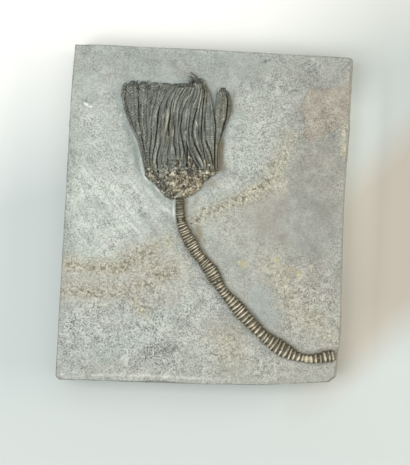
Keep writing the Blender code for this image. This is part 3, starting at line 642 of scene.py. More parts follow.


# ---------------------------------------------------------------- what the crown's pieces share

# The clefts are painted dark as well as cut deep, partly dark matrix and partly painted shade.
CLEFTS = (                   # dark clefts down the crown: half width, depth and points of each
    (0.26, 0.5, ((-14.4, 52.7), (-13.5, 54.0), (-12.4, 54.6), (-11.1, 54.4), (-9.8, 54.8), (-8.6, 54.7),
        (-7.5, 54.7))),
    (0.22, 0.5, ((-35.0, 52.1), (-35.5, 50.0), (-35.3, 47.1), (-34.3, 43.8), (-33.1, 40.5), (-31.8, 37.6))),
    (0.2, 0.35, ((-34.1, 51.3), (-34.2, 49.2), (-33.9, 46.7), (-32.9, 43.8))),
    (0.19, 0.55, ((-28.7, 36.1), (-28.4, 34.2), (-27.5, 31.5), (-27.1, 30), (-26.6, 27.8), (-26.1, 26.5),
        (-25.9, 24.1), (-25.6, 21.7), (-25.3, 19.2))),
    (0.25, 0.4, ((-30.1, 49.4), (-29.7, 46.5), (-29.6, 44), (-29.4, 41.5), (-29.2, 39.4), (-28.9, 37.3))),
    (0.29, 0.35, ((-35.3, 47.9), (-35.1, 45.8), (-34.7, 43.7), (-34.3, 42.1), (-33.8, 40.6))),
    (0.34, 0.4, ((-30.9, 39.5), (-30.6, 38), (-30.2, 36.6))),
    (0.25, 0.3, ((-32.7, 39.4), (-32.7, 37.1))),
    (0.17, 0.6, ((-24, 36.7), (-23.9, 34.7), (-23.7, 31.6), (-24, 29.4), (-24.2, 26.7), (-24.2, 24.2),
        (-24.2, 21.2))),
    (0.19, 0.85, ((-21.7, 37.6), (-21.7, 35.2), (-22, 31.7), (-22, 29.5), (-22.5, 27.2), (-22.7, 25.5),
        (-22.9, 24), (-23, 22.2), (-23.1, 20.3))),
    (0.21, 0.85, ((-20.7, 46.1), (-21.1, 44.4), (-21.4, 42.7), (-21.4, 40.7), (-21.5, 38.5),
        (-21.7, 36.8))),
    (0.17, 0.45, ((-22.3, 48.1), (-22.8, 46.6), (-23.3, 45.3))),
    (0.17, 0.4, ((-24.9, 44.2), (-24.9, 42.5), (-24.9, 40.6))),
    (0.19, 0.95, ((-19.8, 35.2), (-19.8, 32.7), (-19.9, 30.3), (-20.3, 27.8), (-20.7, 26.3), (-20.9, 24.4),
        (-21.2, 22.8), (-20.9, 21.4), (-20.5, 19.7), (-20.3, 17.5))),
    (0.17, 0.55, ((-18.4, 41.8), (-18.6, 39.9), (-19, 37.8), (-19.5, 35.8), (-19.7, 33.9))),
    (0.17, 0.45, ((-19.9, 40), (-20, 38.1), (-20.1, 36.4))),
    (0.18, 0.95, ((-16.3, 45.2), (-16.3, 43.9), (-16.3, 41.4), (-16.5, 39.9), (-16.6, 38.2), (-16.7, 36.6),
        (-16.4, 34.2), (-16.3, 31.6))),
    (0.21, 0.4, ((-17.8, 49.1), (-17.9, 47), (-18, 44.7))),
    (0.23, 0.75, ((-14.5, 42.6), (-14.6, 40), (-14.4, 37.9), (-14.2, 35.8), (-14.4, 32.1), (-14.4, 30.1),
        (-13.6, 28.1), (-13.2, 26.7), (-12.7, 24.8))),
    (0.21, 1, ((-11, 46.1), (-11.3, 43.9), (-11.6, 41.6), (-11.5, 39.7), (-11.7, 38.1), (-11.7, 36.1),
        (-11.3, 33.9), (-10.8, 32), (-10.3, 30), (-9.7, 28.3), (-9.6, 26.9), (-9, 25.9), (-9.2, 24.4),
        (-9.7, 22.6))),
    (0.17, 0.4, ((-9, 49.5), (-9.7, 47.4), (-10.6, 45.7), (-11.2, 44))),
    (0.18, 0.5, ((-7.6, 47.9), (-8, 45), (-8, 43), (-8.2, 40.7), (-8.3, 37.8), (-8.2, 35.1), (-8, 32.6),
        (-7.7, 30.9), (-7.1, 28.4), (-6.2, 26.8), (-5.3, 25.1), (-4.1, 23.4))),
    (0.19, 0.85, ((-5.6, 25.7), (-4.1, 23.4), (-2.9, 21.9), (-2.1, 20.7))),
    (0.21, 1, ((-4.7, 48.1), (-4.8, 46.4), (-5.1, 44.9), (-6, 43.1), (-6.4, 40.6), (-6.7, 38.5),
        (-6.7, 36.6),
        (-6.7, 34.1), (-6.1, 32.2), (-5.5, 30.5), (-4.7, 29), (-3.8, 27.6), (-2.7, 25.9), (-1.9, 24.7),
        (-0.9, 23.3), (-0.4, 22.4))),
    (0.18, 0.9, ((-2.7, 49.8), (-2.8, 46.5), (-2.7, 43.9), (-2.7, 41.5), (-2.9, 39.3), (-3, 37.8),
        (-3, 35.6),
        (-2.9, 33.3), (-2.6, 31.1), (-2, 29.4), (-1.6, 27.7), (-1.2, 26.2), (-0.8, 24.3), (-0.2, 22.6),
        (-0.5, 20.3), (-1, 18.1))),
    (0.15, 0.5, ((-4.1, 38), (-4.2, 35.9), (-4, 34), (-3.6, 31.5), (-3.1, 28.9), (-2.5, 27.3))),
    (0.19, 0.5, ((-1.4, 46.5), (-1.6, 43.6), (-1.7, 40.5), (-1.7, 37.3), (-1.6, 34.3))),
    (0.21, 1.05, ((-1.5, 33.5), (-0.9, 31.9), (-0.2, 30.5), (0.6, 29), (1.3, 27.3), (1.8, 25.6),
        (2.1, 23.9),
        (2.9, 22.2), (3.2, 20.7))),
    (0.17, 0.8, ((-2.7, 54.5), (-2.5, 52.8), (-2.5, 51.3))),
    (0.15, 0.8, ((-2.7, 50.2), (-2.7, 47.9))),
    (0.15, 0.7, ((-1.5, 50.5), (-1.2, 47.6))),
    (0.17, 0.95, ((2.5, 36.4), (2.7, 33.7), (2.8, 31.1), (2.9, 28.9), (3, 26.4), (3.1, 23.4), (2.9, 21.5))),
    (0.21, 0.8, ((5.1, 54.6), (5.8, 53.8), (6.6, 52.1), (7.4, 49.7), (7.4, 46.9), (7.3, 44), (7.2, 41.7),
        (6.3, 39), (5.7, 36.2), (5.2, 34.7), (5, 32.5))),
    (0.13, 0.6, ((1.3, 45.6), (1.7, 43.9), (2, 42.9), (2.6, 41.9))),
    (0.17, 0.7, ((0.3, 52.5), (0.5, 51.1), (0.8, 49.1))),
    (0.29, 0.6, ((-30.8, 53.4), (-30.1, 52.9))),
    (0.25, 0.5, ((-28, 53.3), (-27.3, 52.9))),
    (0.38, 0.35, ((-27.4, 51.6), (-26.7, 51))),
    (0.21, 0.5, ((-23.7, 51.6), (-22.8, 52.3), (-22.1, 52.5))),
    (0.21, 0.6, ((-20.4, 52.1), (-19.2, 52.6), (-18.4, 52.8))),
    (0.17, 0.7, ((-31.2, 56.3), (-30.9, 54.6))),
    (0.21, 0.7, ((-26.6, 55.5), (-26.4, 53.8))),
    (0.21, 0.45, ((-28.5, 46.6), (-29, 44.8))),
    (0.17, 0.4, ((-24.5, 48), (-24.8, 46.1))),
)
RIDGES = (                   # its raised ribs: half width, height, how much pale calcite, and points
    (0.26, 0.24, 0.25, ((-14.2, 51.6), (-13.7, 53.0), (-12.7, 53.9), (-11.7, 53.8), (-11.2, 53.1))),
    (0.26, 0.24, 0.2, ((-11.4, 52.8), (-10.9, 53.7), (-10.0, 54.3), (-9.2, 54.0), (-8.9, 53.4))),
    (0.26, 0.22, 0.25, ((-8.9, 52.9), (-8.4, 53.8), (-7.5, 54.0), (-6.8, 53.3))),
    (0.32, 1.5, 0, ((-34.8, 53.2), (-34.5, 54.4), (-33.4, 55.2), (-31.9, 55.1))),
    (0.28, 1.3, 0, ((-29.3, 53.7), (-28.7, 54.4), (-27.7, 54.4))),
    (0.28, 1.3, 0, ((-24.5, 53.7), (-23.7, 54.4), (-22.4, 54.2))),
    (0.24, 0.9, 0, ((-36.3, 51.2), (-36.5, 49.1), (-36.0, 46.6), (-35.3, 44.6))),
    (0.22, 1.2, 0.3, ((-6.5, 54.3), (-5.5, 55.2), (-5.0, 56.2), (-5.8, 56.7))),
    (0.19, 0.9, 0.1, ((-13.8, 53.8), (-14.6, 53), (-15.1, 51.6), (-15.3, 49.9), (-15.3, 48.2),
        (-15.5, 45.9),
        (-15.6, 43.9), (-15.7, 41), (-16, 38.7), (-16, 36.2), (-15.7, 33.7))),
    (0.19, 0.8, 0.1, ((-10.9, 53.8), (-11.6, 54), (-13.1, 53.4), (-13.8, 52.2), (-14.2, 50.6),
        (-14.5, 48.9),
        (-14.6, 46.9), (-14.8, 44.7), (-15.2, 42.1))),
    (0.17, 0.7, 0.1, ((-7.5, 54.2), (-8.7, 54.4), (-9.4, 54.1), (-10.4, 53.3), (-11.4, 51.7))),
    (0.19, 0.8, 0.15, ((-7.5, 52.5), (-8, 51.2), (-9.1, 49.9), (-9.9, 49.1), (-10.7, 47.6), (-11.1, 45.7))),
    (0.19, 0.7, 0.1, ((-19.9, 52.9), (-21.2, 51.7), (-21.6, 49.8), (-22.1, 47.7))),
    (0.21, 0.6, 0, ((-18.9, 51), (-19.6, 50.2), (-20.3, 48.6), (-20.7, 46.9))),
    (0.21, 0.9, 0.15, ((-21.3, 46), (-22.1, 43.1), (-22.4, 41.6), (-22.5, 39.3))),
    (0.17, 0.7, 0, ((-23.6, 46.6), (-24.3, 44.8), (-24.7, 43.2))),
    (0.21, 0.9, 0.5, ((-19, 42.8), (-19.2, 41.5), (-19.5, 40.2))),
    (0.32, 0.8, 0.22, ((-17.3, 44.1), (-17.3, 42), (-17.6, 39.9), (-17.7, 38.2), (-18, 36.6),
        (-18.2, 34.8))),
    (0.29, 0.5, 0.1, ((-15.6, 40), (-15.8, 36.7), (-15.7, 34.5), (-15.5, 32))),
    (0.21, 0.9, 0.1, ((-3.2, 53.6), (-3.9, 51.9), (-4, 49.6), (-4.3, 47.6), (-4.5, 45.5), (-4.7, 43.8),
        (-5.2, 41.3))),
    (0.21, 0.6, 0.05, ((-5.7, 49.7), (-5.9, 48.6), (-6.6, 47.3), (-7.3, 46))),
    (0.21, 1.3, 0.9, ((-5.4, 40.5), (-5.1, 39.2), (-4.6, 37.9))),
    (0.15, 0.6, 0.05, ((-3.9, 42.2), (-3.8, 39.3), (-3.9, 37.2))),
    (0.17, 1, 0.5, ((-9.3, 36.1), (-9.3, 34.5))),
    (0.17, 0.6, 0.1, ((-10.6, 35.4), (-9.9, 33.5), (-9.2, 31.5))),
    (0.21, 0.8, 0.35, ((-21.2, 27.1), (-21.8, 25.3), (-21.9, 22.8), (-22, 21.4))),
    (0.17, 0.6, 0.1, ((-23.4, 25.8), (-24.2, 24.2), (-24.7, 22.5))),
    (0.19, 0.6, 0.05, ((-23.3, 34.6), (-23.2, 32.9), (-23.2, 30.8), (-23.3, 28.3))),
    (0.19, 0.7, 0.05, ((-20.9, 34.7), (-20.9, 32.6), (-21, 30.1), (-21.3, 27.5))),
    (0.13, 0.7, 0.2, ((-1.4, 37.4), (-0.7, 37.6), (-0, 37.2))),
    (0.21, 0.6, 0.1, ((-7.5, 27.3), (-6.6, 25.7), (-5.5, 23.8), (-4.1, 21.8))),
    (0.21, 0.9, 0.35, ((-4.3, 25.9), (-3.2, 24.4), (-1.9, 22.7), (-1.5, 21.1))),
    (0.17, 0.9, 0.5, ((-1.3, 24.1), (-0.9, 22.7))),
    (0.21, 0.6, 0.15, ((-10.2, 28.5), (-10.5, 26.3), (-10.8, 24.7), (-11, 23))),
    (0.17, 0.9, 0.5, ((5.8, 41.4), (6.7, 41.8))),
    (0.17, 0.6, 0.1, ((1.6, 44.8), (1.5, 42.7))),
    (0.15, 0.7, 0.2, ((2.5, 43.5), (3, 41.8))),
    (0.17, 0.9, 0.3, ((3.5, 54.6), (4.2, 54.7), (5.2, 53.7))),
    (0.17, 0.8, 0.15, ((-35.9, 50.6), (-36, 52.9), (-35.5, 54.4), (-34.7, 55.4), (-33.6, 55.8))),
    (0.15, 0.6, 0.1, ((-25.2, 36.9), (-26.5, 35.4), (-27.1, 33.9))),
    (0.15, 0.5, 0.1, ((-25.4, 34.1), (-26.3, 33.2), (-27, 31.7))),
    (0.17, 0.9, 0.3, ((-24.8, 30.2), (-25.8, 29))),
    (0.17, 0.7, 0.2, ((-30.1, 50.7), (-30, 49.4))),
    (0.15, 0.6, 0.1, ((-33.4, 50.7), (-32.2, 51.5))),
    (0.17, 0.6, 0.1, ((-33.7, 46.1), (-33.4, 44.4))),
    (0.17, 0.6, 0.1, ((-28.4, 42.6), (-27.6, 42.4), (-27.4, 41.1))),
    (0.17, 0.5, 0.05, ((-27.3, 46.6), (-26.5, 47.3))),
    (0.21, 0.5, 0.2, ((-37, 51.8), (-36.8, 50.4), (-36.4, 49.1))),
    (0.17, 0.7, 0.1, ((-13.1, 48.5), (-13.1, 45.6), (-13.3, 43), (-13.3, 40.1))),
    (0.17, 0.6, 0.1, ((-9.1, 46.2), (-9.4, 43.6), (-9.6, 41.1), (-9.7, 38.6))),
    (0.17, 0.6, 0.1, ((-6.4, 37), (-5.4, 34.6), (-4.7, 32.1), (-3.7, 29.8))),
    (0.17, 0.5, 0.05, ((-12.8, 38), (-12.8, 35.5), (-12.8, 33), (-12.4, 30))),
    (0.17, 0.5, 0.05, ((-8.9, 33.6), (-8.6, 31.1), (-8, 28.6))),
    (0.17, 0.5, 0.1, ((-0.6, 35.2), (-0.3, 33.1), (0.4, 31.5), (1.3, 29.8))),
    (0.19, 0.5, 0.1, ((-18.2, 32.3), (-18.3, 30.2), (-18.7, 28.1), (-19, 26))),
    (0.19, 0.5, 0.1, ((-15.4, 30.7), (-15.1, 28.7), (-14.7, 26.6))),
)
CREAM_KNOBS = (              # x, y, radius and how bright: worn plates that show pale calcite
    (-24.1, 19.3, 0.63, 0.75), (-23.7, 17.4, 0.46, 0.75), (-22.3, 16.4, 0.5, 0.6), (-22, 22.3, 0.46, 0.5),
    (-14.1, 17.6, 0.97, 1), (-15, 17.3, 0.63, 0.9), (-16.8, 18.3, 0.63, 0.75), (-18.2, 19.5, 0.5, 0.6),
    (-18.7, 20.9, 0.42, 0.5), (-12.9, 20.2, 0.71, 0.8), (-13.3, 18.7, 0.46, 0.75),
    (-13.2, 22.3, 0.59, 0.35), (-14.5, 13.7, 0.67, 0.8), (-13.8, 13.8, 0.67, 0.9), (-13.3, 12.8, 0.5, 0.8),
    (-15.5, 13.9, 0.46, 0.6), (-20, 13.9, 0.38, 0.8), (-18.2, 12.8, 0.42, 0.5), (-12.4, 16.8, 0.46, 0.55),
    (-10.6, 12.6, 0.5, 0.5), (1, 22.1, 0.5, 0.95), (0.1, 18.8, 0.67, 0.9), (-2.6, 19.2, 0.46, 0.85),
    (-0.8, 17.5, 0.38, 0.5), (-8.9, 13.6, 0.46, 0.85), (-8, 14.3, 0.46, 0.55), (-3.7, 13.9, 0.38, 0.75),
    (-3.2, 13.1, 0.38, 0.85), (-4.5, 12.9, 0.34, 0.7), (-3.3, 11.8, 0.42, 0.6), (-6.9, 16.4, 0.46, 0.5),
    (-9.1, 9.4, 0.67, 0.85), (-9.8, 10.6, 0.46, 0.5), (-8.1, 10.7, 0.34, 0.7), (-18.4, 10.3, 0.42, 0.7),
    (-17.6, 9.5, 0.34, 0.6), (-7.9, 25, 0.76, 0.6), (-7.3, 22.1, 0.34, 0.6), (-4.4, 19.4, 0.34, 0.55),
    (-16.4, 19.7, 0.29, 0.5), (-5.7, 14.4, 0.42, 0.4), (-11.5, 11, 0.42, 0.35),
)
WARM_PLACES = (              # patches where the crown is brown, and their strength
    (-8, 13.4, 10.1, 6.3, 0.95), (-22.9, 18.6, 2.9, 4.6, 0.75), (2.1, 22.7, 3.8, 5.5, 0.95),
    (-17, 35.7, 3.8, 6.3, 0.45), (-2.1, 52, 2.5, 5.5, 0.7), (6.1, 45.6, 3.4, 8.4, 0.6),
    (3.6, 26.6, 2.5, 5.9, 0.9), (-12.1, 21.2, 2.1, 4.2, 0.5), (-3.2, 28.4, 4.2, 5, 0.2),
)
GREY_PLACES = (              # the same for the bluish rubble between the arms
    (-6.2, 21.1, 3.8, 3.8, 0.9), (-7.2, 24.8, 2.1, 2.5, 0.5), (-19.0, 13.2, 2.4, 3.8, 0.8),
)
HOLLOWS = (                  # the same for dark holes between the plates of the calyx
    (-20.1, 17.9, 0.29, 1.26, 1), (-17.6, 15.7, 0.25, 1.09, 0.8), (-18.8, 14.6, 0.34, 0.59, 0.7),
    (-15.9, 17, 0.5, 0.59, 0.9), (-12, 22.7, 0.42, 0.76, 1), (-11.1, 19.4, 0.84, 0.59, 0.6),
    (-11.9, 17.8, 0.67, 0.59, 0.8), (-9.2, 12.5, 0.29, 1.01, 0.8), (-12.1, 10.1, 0.67, 0.42, 0.7),
    (-5.3, 10.5, 0.67, 0.42, 0.6), (-2.5, 12.5, 0.42, 0.67, 0.7), (-1.4, 15.8, 0.42, 2.1, 0.6),
    (-10.2, 17.1, 0.63, 0.42, 0.4), (-7.4, 18.9, 1.01, 0.5, 0.6), (-8.1, 21.8, 0.67, 0.76, 0.6),
    (-5.2, 19.2, 0.76, 0.5, 0.7), (-6.6, 20.8, 0.5, 0.67, 0.5), (-14.3, 15, 1.01, 0.34, 0.4),
    (-3.2, 16.8, 0.67, 0.29, 0.5), (0.3, 16.9, 0.67, 0.34, 0.5), (-4.3, 12.1, 0.5, 0.42, 0.6),
    (-16.7, 11.4, 0.42, 0.67, 0.4), (-14.7, 9.8, 0.5, 0.42, 0.5), (3.6, 20, 0.92, 0.59, 0.5),
    (-13.2, 8.7, 1.26, 0.42, 0.5), (-18.9, 12.3, 0.5, 1.09, 0.4),
)
RUBBLE_TOP, RUBBLE_RISE = 19.0, 6.0          # how far the rubble climbs the arms, and the rise in mid-crown
RUBBLE_MIDDLE, RUBBLE_SPREAD = -14.5, 5.5
COMBED_FLAT = (-15.1, 54.9, 5.6, 1.7)        # patch of the smooth hump at the top of the crown
STROKE_TAPER = 0.22          # share of a cleft's or a rib's length over which it fades at each end


def near_line(places, line, reach):
    """Which places lie within reach of a line's box."""
    low, high = line[:, :2].min(axis=0) - reach, line[:, :2].max(axis=0) + reach
    return np.all((places > low) & (places < high), axis=1)


def strokes(places, lines):
    """How strongly the given lines mark each place. Each fades and narrows towards its ends."""
    total = np.zeros(len(places))
    for width, strength, points in lines:
        line = curve_through(points, 4)
        close = near_line(places, line, 3.5 * width)
        if not close.any():
            continue
        away, along = nearest(places[close], line)
        length = lengths_along(line)[-1]
        share = np.clip(np.minimum(along, length - along) / (STROKE_TAPER * length), 0.0, 1.0)
        stroke = strength * (0.25 + 0.75 * share) * dome(away, width * (0.6 + 0.4 * share))
        total[close] = np.maximum(total[close], stroke)
    return total


def patch(places, x, y, across, up):
    """1 in the middle of an oval patch, falling to 0 round it."""
    off = np.hypot((places[:, 0] - x) / across, (places[:, 1] - y) / up)
    return 1 - eased(off, 0.55, 1.25)


def spots(places, patches):
    """The strongest of some patches at each place."""
    total = np.zeros(len(places))
    for *oval, strength in patches:
        total = np.maximum(total, strength * patch(places, *oval))
    return total


def crown_marks(places):
    """Relief of the crown that crosses from piece to piece, and its marks."""
    ragged = 0.10 * np.column_stack([lumps(places, 1.2, 201), lumps(places, 1.2, 202)])
    moved = places + ragged
    uneven = 1 + 0.35 * lumps(places, 2.2, 203)
    clefts = strokes(moved, CLEFTS) * uneven
    ribs = strokes(moved, [(width, height, points) for width, height, _, points in RIDGES])
    pale = strokes(moved, [(width, pale, points) for width, _, pale, points in RIDGES])
    holes = spots(moved + ragged, HOLLOWS)
    warm, grey = spots(moved, WARM_PLACES), spots(moved, GREY_PLACES)
    knobs = np.zeros(len(places))
    cream = np.zeros(len(places))
    shape = 1 + 0.35 * lumps(places, 0.8, 204) + 0.2 * lumps(places, 0.4, 205)
    for x, y, radius, bright in CREAM_KNOBS:
        knob = 1 - eased(np.hypot(places[:, 0] - x, places[:, 1] - y) / radius * shape, 0.45, 1.1)
        knobs = np.maximum(knobs, knob)
        cream = np.maximum(cream, bright * knob)
    top = RUBBLE_TOP + RUBBLE_RISE * dome(places[:, 0] - RUBBLE_MIDDLE, RUBBLE_SPREAD)
    low = 1 - eased(places[:, 1] + 1.5 * lumps(places, 2.0, 206), top - 2.0, top + 2.0)
    height = 0.28 * ribs + 0.32 * knobs - 0.75 * clefts * (1 - 0.3 * low) - 0.5 * holes
    # crest: a painted highlight on the ribs, and darker in the clefts and holes, partly dark matrix and
    # partly painted shade
    crest = 0.42 * ribs - 0.66 * clefts - 0.5 * holes - 0.2 * grey
    return height, crest, np.maximum(cream, 0.9 * pale), np.clip(warm - grey, 0, 1), low, grey


def blocks(places, size, seed):
    """Broken blocks: 0 at the middle of each and 1 at the seams, and each block's own number from 0 to 1."""
    shift = 9.1 * seed
    away, own = [], []
    for x, y in places.tolist():
        distances, sites = noise.voronoi((x / size + shift, y / size, 0.0))
        away.append(distances[1] - distances[0])
        own.append(noise.cell((sites[0].x * 7.7, sites[0].y * 7.7, seed)))
    return 1 - np.minimum(np.array(away) * 1.6, 1.0), np.array(own)


def rubble(places):
    """Broken plates: their relief, how light each place is, and which chips are cream."""
    bent = places + 0.22 * np.column_stack([lumps(places, 1.3, 90), lumps(places, 1.3, 91)])
    seams, own = blocks(bent, 1.15, 3)
    small_seams, small_own = blocks(bent, 0.55, 5)
    height = 0.40 * (own - 0.5) - 0.20 * seams**6 + 0.24 * (small_own - 0.5) - 0.10 * small_seams**6
    height += 0.18 * lumps(places, 0.5, 92)
    crest = 0.18 * (own - 0.5) + 0.30 * (small_own - 0.5) - 0.16 * seams**10 - 0.10 * small_seams**8
    crest += 0.30 * lumps(places, 0.45, 94) + 0.12 * lumps(places, 2.8, 95) + 0.01
    chips = 0.38 * eased(small_own, 0.84, 0.92) * (small_seams < 0.8)
    return height, crest, chips


# ---------------------------------------------------------------- the slab's face

UNDER_FOSSIL = 0.45          # how far the face is sunk under the fossil
BUFF_RIM_END = 56.5          # the x at which the buff patch's rim stops

def ground_height(places, scraped, coarse):
    """Rise and fall of the slab's face: broad lumps, and fine ones, ledges and scrapes where it's coarse."""
    height = 0.22 * lumps(places, 26.0, 3) + 0.14 * lumps(places, 9.0, 4)
    fine = 0.14 * lumps(places, 4.0, 5) + 0.16 * lumps(places, 1.9, 6) + 0.20 * lumps(places, 1.0, 7)
    height += coarse * fine
    ledges = lumps(places, 7.0, 8) + 0.5 * lumps(places, 2.4, 9)
    height += coarse * 0.12 * (eased(ledges, 0.15, 0.28) - eased(-ledges, 0.35, 0.5))
    return height + coarse * 0.16 * lumps(scraped, 1.1, 18, 6.0)


def hollow_depth(places, ragged, from_crown, from_stem):
    """Depth of the prepared hollow beside the crown and the stem."""
    hollow = (0.25 + 0.6 * spots(places, HOLLOW_PLACES)) * (1 - eased(from_crown + ragged, 0.8, 3.6))
    return np.maximum(hollow, 0.3 * (1 - eased(from_stem + 0.7 * ragged, 0.2, 1.6)))


def scarred(places, ragged, off, height):
    """The height with lips, scratches, cracks, pits and chips, and how pale and how dark they are."""
    # lips: raised and painted pale, partly pale rock and partly painted highlight
    lips = strokes(places + 0.25 * ragged[:, None], PALE_LIT_LIPS) * (off > -0.1)
    pale = lips * (0.8 + 0.8 * lumps(places, 1.5, 30))
    height += 0.35 * pale
    dark = np.zeros(len(places))
    for width, depth, points in SCRATCHES:
        away, _ = nearest(places, curve_through(points))
        line = dome(away + 0.4 * np.abs(ragged), width)
        height -= depth * line
        pale = np.maximum(pale, 0.55 * line * eased(lumps(places, 2.0, 19), -0.35, 0.3))
    for width, depth, points in CRACKS:
        away, _ = nearest(places, curve_through(points))
        line = dome(away + 0.25 * np.abs(ragged), width)
        height -= depth * line
        dark = np.maximum(dark, line * (0.55 + 0.6 * lumps(places, 2.0, 15)))
    for x, y, radius, depth, shade in PITS:
        away = np.hypot(places[:, 0] - x, places[:, 1] - y) * (1 + 0.5 * ragged)
        height -= depth * (1 - eased(away, 0.35 * radius, radius))
        dark = np.maximum(dark, shade * (1 - eased(away, 0.0, radius)))
    for x, y, long, wide, turn in FLAKES:
        across = (places[:, 0] - x) * math.cos(turn) + (places[:, 1] - y) * math.sin(turn)
        up = (places[:, 1] - y) * math.cos(turn) - (places[:, 0] - x) * math.sin(turn)
        away = np.hypot(across / long, up / wide) * (1 + 0.6 * ragged)
        flake = 1 - eased(away, 0.5, 1.0)
        height += 0.12 * flake
        pale = np.maximum(pale, flake)
    return height, pale, dark


def stains(places, torn):
    """How rusty the rock is, and how full of dark dots."""
    stain, dots = np.zeros(len(places)), np.zeros(len(places))
    for width, strength, peppered, points in STAIN_BANDS:
        away, _ = nearest(torn, curve_through(points))
        stain = np.maximum(stain, strength * dome(away, 1.45 * width))
        dots = np.maximum(dots, peppered * strength * dome(away, 1.3 * width))
    for x, y, radius in RUSTY_SPOTS:
        stain = np.maximum(stain, 0.8 * patch(torn, x, y, radius, radius))
    patchy = 1.15 + 0.8 * lumps(places, 5.0, 16)
    return np.clip(stain * patchy, 0, 1), np.clip(dots * patchy, 0, 1)


def buff_rock(places, ragged):
    """The buff patch by the top right corner, and its dark rim, which stops short of the slab's edge."""
    outside = distance_outside(places + 0.8 * ragged[:, None], np.array(BUFF_PATCH))
    rim = dome(outside, 0.35) * eased(lumps(places, 3.0, 17), 0.0, 0.3) * (places[:, 0] < BUFF_RIM_END)
    return 0.8 * (1 - eased(outside, -0.2, 0.5)), 0.5 * rim


def rock_tones(places, torn, scraped):
    """How warm and how light the rock is. It grows warmer and darker towards the lower right."""
    drift = eased(places[:, 0] - 0.35 * places[:, 1], -30.0, 50.0)
    warm = np.maximum(0.55 * drift, spots(torn, WARM_PATCHES))
    light = 0.895 - 0.055 * drift
    for *oval, change in LIGHT_PATCHES:
        light += change * patch(torn, *oval)
    for width, change, points in LIGHT_STREAKS:
        away, _ = nearest(torn, curve_through(points))
        light += change * dome(away, width)
    light += 0.04 * lumps(torn, 11.0, 28) + 0.05 * lumps(scraped, 2.6, 29, 3.0)
    return np.clip(warm, 0, 1), light


def face_relief(places):
    """Height of the slab's face over its level, and the marks on it."""
    crown, apart, calyx_edge = fossil_outlines()
    from_crown = np.minimum(distance_outside(places, crown), distance_outside(places, calyx_edge))
    from_crown = np.minimum(from_crown, distance_outside(places, apart))
    from_stem = stem_distance(places)
    off = np.minimum(from_crown, from_stem)
    ragged = 0.5 * lumps(places, 2.5, 1) + 0.25 * lumps(places, 1.1, 2)
    torn = places + 1.6 * np.column_stack([lumps(places, 5.0, 13), lumps(places, 5.0, 14)]) + ragged[:, None]
    cos, sin = math.cos(SCRATCH_TURN), math.sin(SCRATCH_TURN)
    scraped = places @ np.array([[cos, sin], [-sin, cos]])

    smooth = np.maximum(spots(torn, SMOOTH_PATCHES), 0.7 * (1 - eased(from_crown + ragged, 1.0, 3.5)))
    height = ground_height(places, scraped, 1 - 0.75 * smooth)
    height -= hollow_depth(places, ragged, from_crown, from_stem)
    height = np.where(off < 0, -UNDER_FOSSIL, height)
    height, pale, dark = scarred(places, ragged, off, height)

    stain, dots = stains(places, torn)
    buff, buff_rim = buff_rock(places, ragged)
    warm, light = rock_tones(places, torn, scraped)
    rough = 0.60 + 0.75 * spots(torn, ROUGH_PATCHES) - spots(torn, CALM_PATCHES) - 0.3 * smooth
    rough = np.maximum(0.22, rough * (1 + 0.5 * lumps(places, 8.0, 12)) + 0.6 * stain)
    # painted shadow on the rock beside the stem, on its upper right, laid in as dark and brown marks
    painted_tone_beside = (1 - eased(from_stem + 0.6 * ragged, 0.2, 2.2)) * eased(stem_side(places), -0.3, 0.3)
    marks = {
        "smooth": smooth, "pale": pale, "stain": stain, "dots": dots, "buff": buff, "warm": warm,
        "light": light, "rough": rough, "combed": spots(torn, COMBED_PATCHES),
        "dark": np.maximum(np.maximum(dark, buff_rim), 0.12 * painted_tone_beside),
        "brown": np.maximum(spots(torn, BROWN_SHADE_PLACES), 0.5 * painted_tone_beside), "yellow": spots(torn, YELLOW_SPOTS),
    }
    return height, marks


# ---------------------------------------------------------------- the slab's body

FACE_COLUMNS, FACE_ROWS = 238, 282
RIM_FADE = 3.0               # how far down the sides the rim's own ups and downs show
BACK_EDGE, BACK_EDGE_WIDTH = 15.0, 1.3   # from here down the sides draw in towards the back, and how far
SIDE_RINGS = (               # height below the face, share of the broken strip or the back's edge, wander
    (0.25, 0.80, 0.04), (0.6, 0.50, 0.08), (1.1, 0.20, 0.10), (1.8, 0.05, 0.14), (2.9, 0.0, 0.25),
    (3.8, 0.0, 0.5), (4.6, 0.0, 0.7), (5.4, 0.0, 0.9), (6.2, 0.0, 1.0), (7.0, 0.0, 1.0), (7.8, 0.0, 1.1),
    (8.6, 0.0, 1.1), (9.4, 0.0, 1.1), (10.2, 0.0, 1.1), (11.0, 0.0, 1.1), (11.8, 0.0, 1.1),
    (12.6, 0.0, 1.1), (13.4, 0.0, 1.1), (14.2, 0.0, 1.1), (15.0, 0.05, 1.0), (15.8, 0.15, 0.9),
    (16.6, 0.35, 0.7), (17.3, 0.6, 0.5), (18.0, 1.0, 0.3),
)
OUTSET = 0.5                 # the rock's broken sides wander this far past the solid's smoother ones
BACK_STEP = 2.5              # between the back's points


def slab_sides():
    """The slab's four sides, each as even points with the strip's width, in order round the slab."""
    widened = (1 + OUTSET / HALF_WIDTH, 1 + OUTSET / HALF_LENGTH, 1)
    outline = np.array([*SLAB_OUTLINE, SLAB_OUTLINE[0]]) * widened
    corners = (*OUTLINE_CORNERS, len(SLAB_OUTLINE))
    counts = (FACE_COLUMNS, FACE_ROWS, FACE_COLUMNS, FACE_ROWS)
    return [
        evenly(outline[first:last + 1], np.linspace(0, 1, count))
        for first, last, count in zip(corners, corners[1:], counts)
    ]


def drawn_in(points, shift):
    """Points of the slab's outline moved inwards by a distance."""
    return points * (1 - np.asarray(shift)[:, None] / np.array([HALF_WIDTH, HALF_LENGTH]))


def worn_edge(side):
    """The edge of the face along one side of the slab, set in by the broken strip."""
    places = side[:, :2]
    chipped = np.maximum(0.0, lumps(places, 1.6, 20)) + 0.5 * np.maximum(0.0, lumps(places, 0.8, 21))
    wide = 0.24 * side[:, 2] + 0.26 * np.maximum(0.0, side[:, 2] - 1.0)
    strip = 0.2 + wide * (1 + 0.8 * lumps(places, 9.0, 22)) + 0.35 * chipped
    return drawn_in(places, strip)


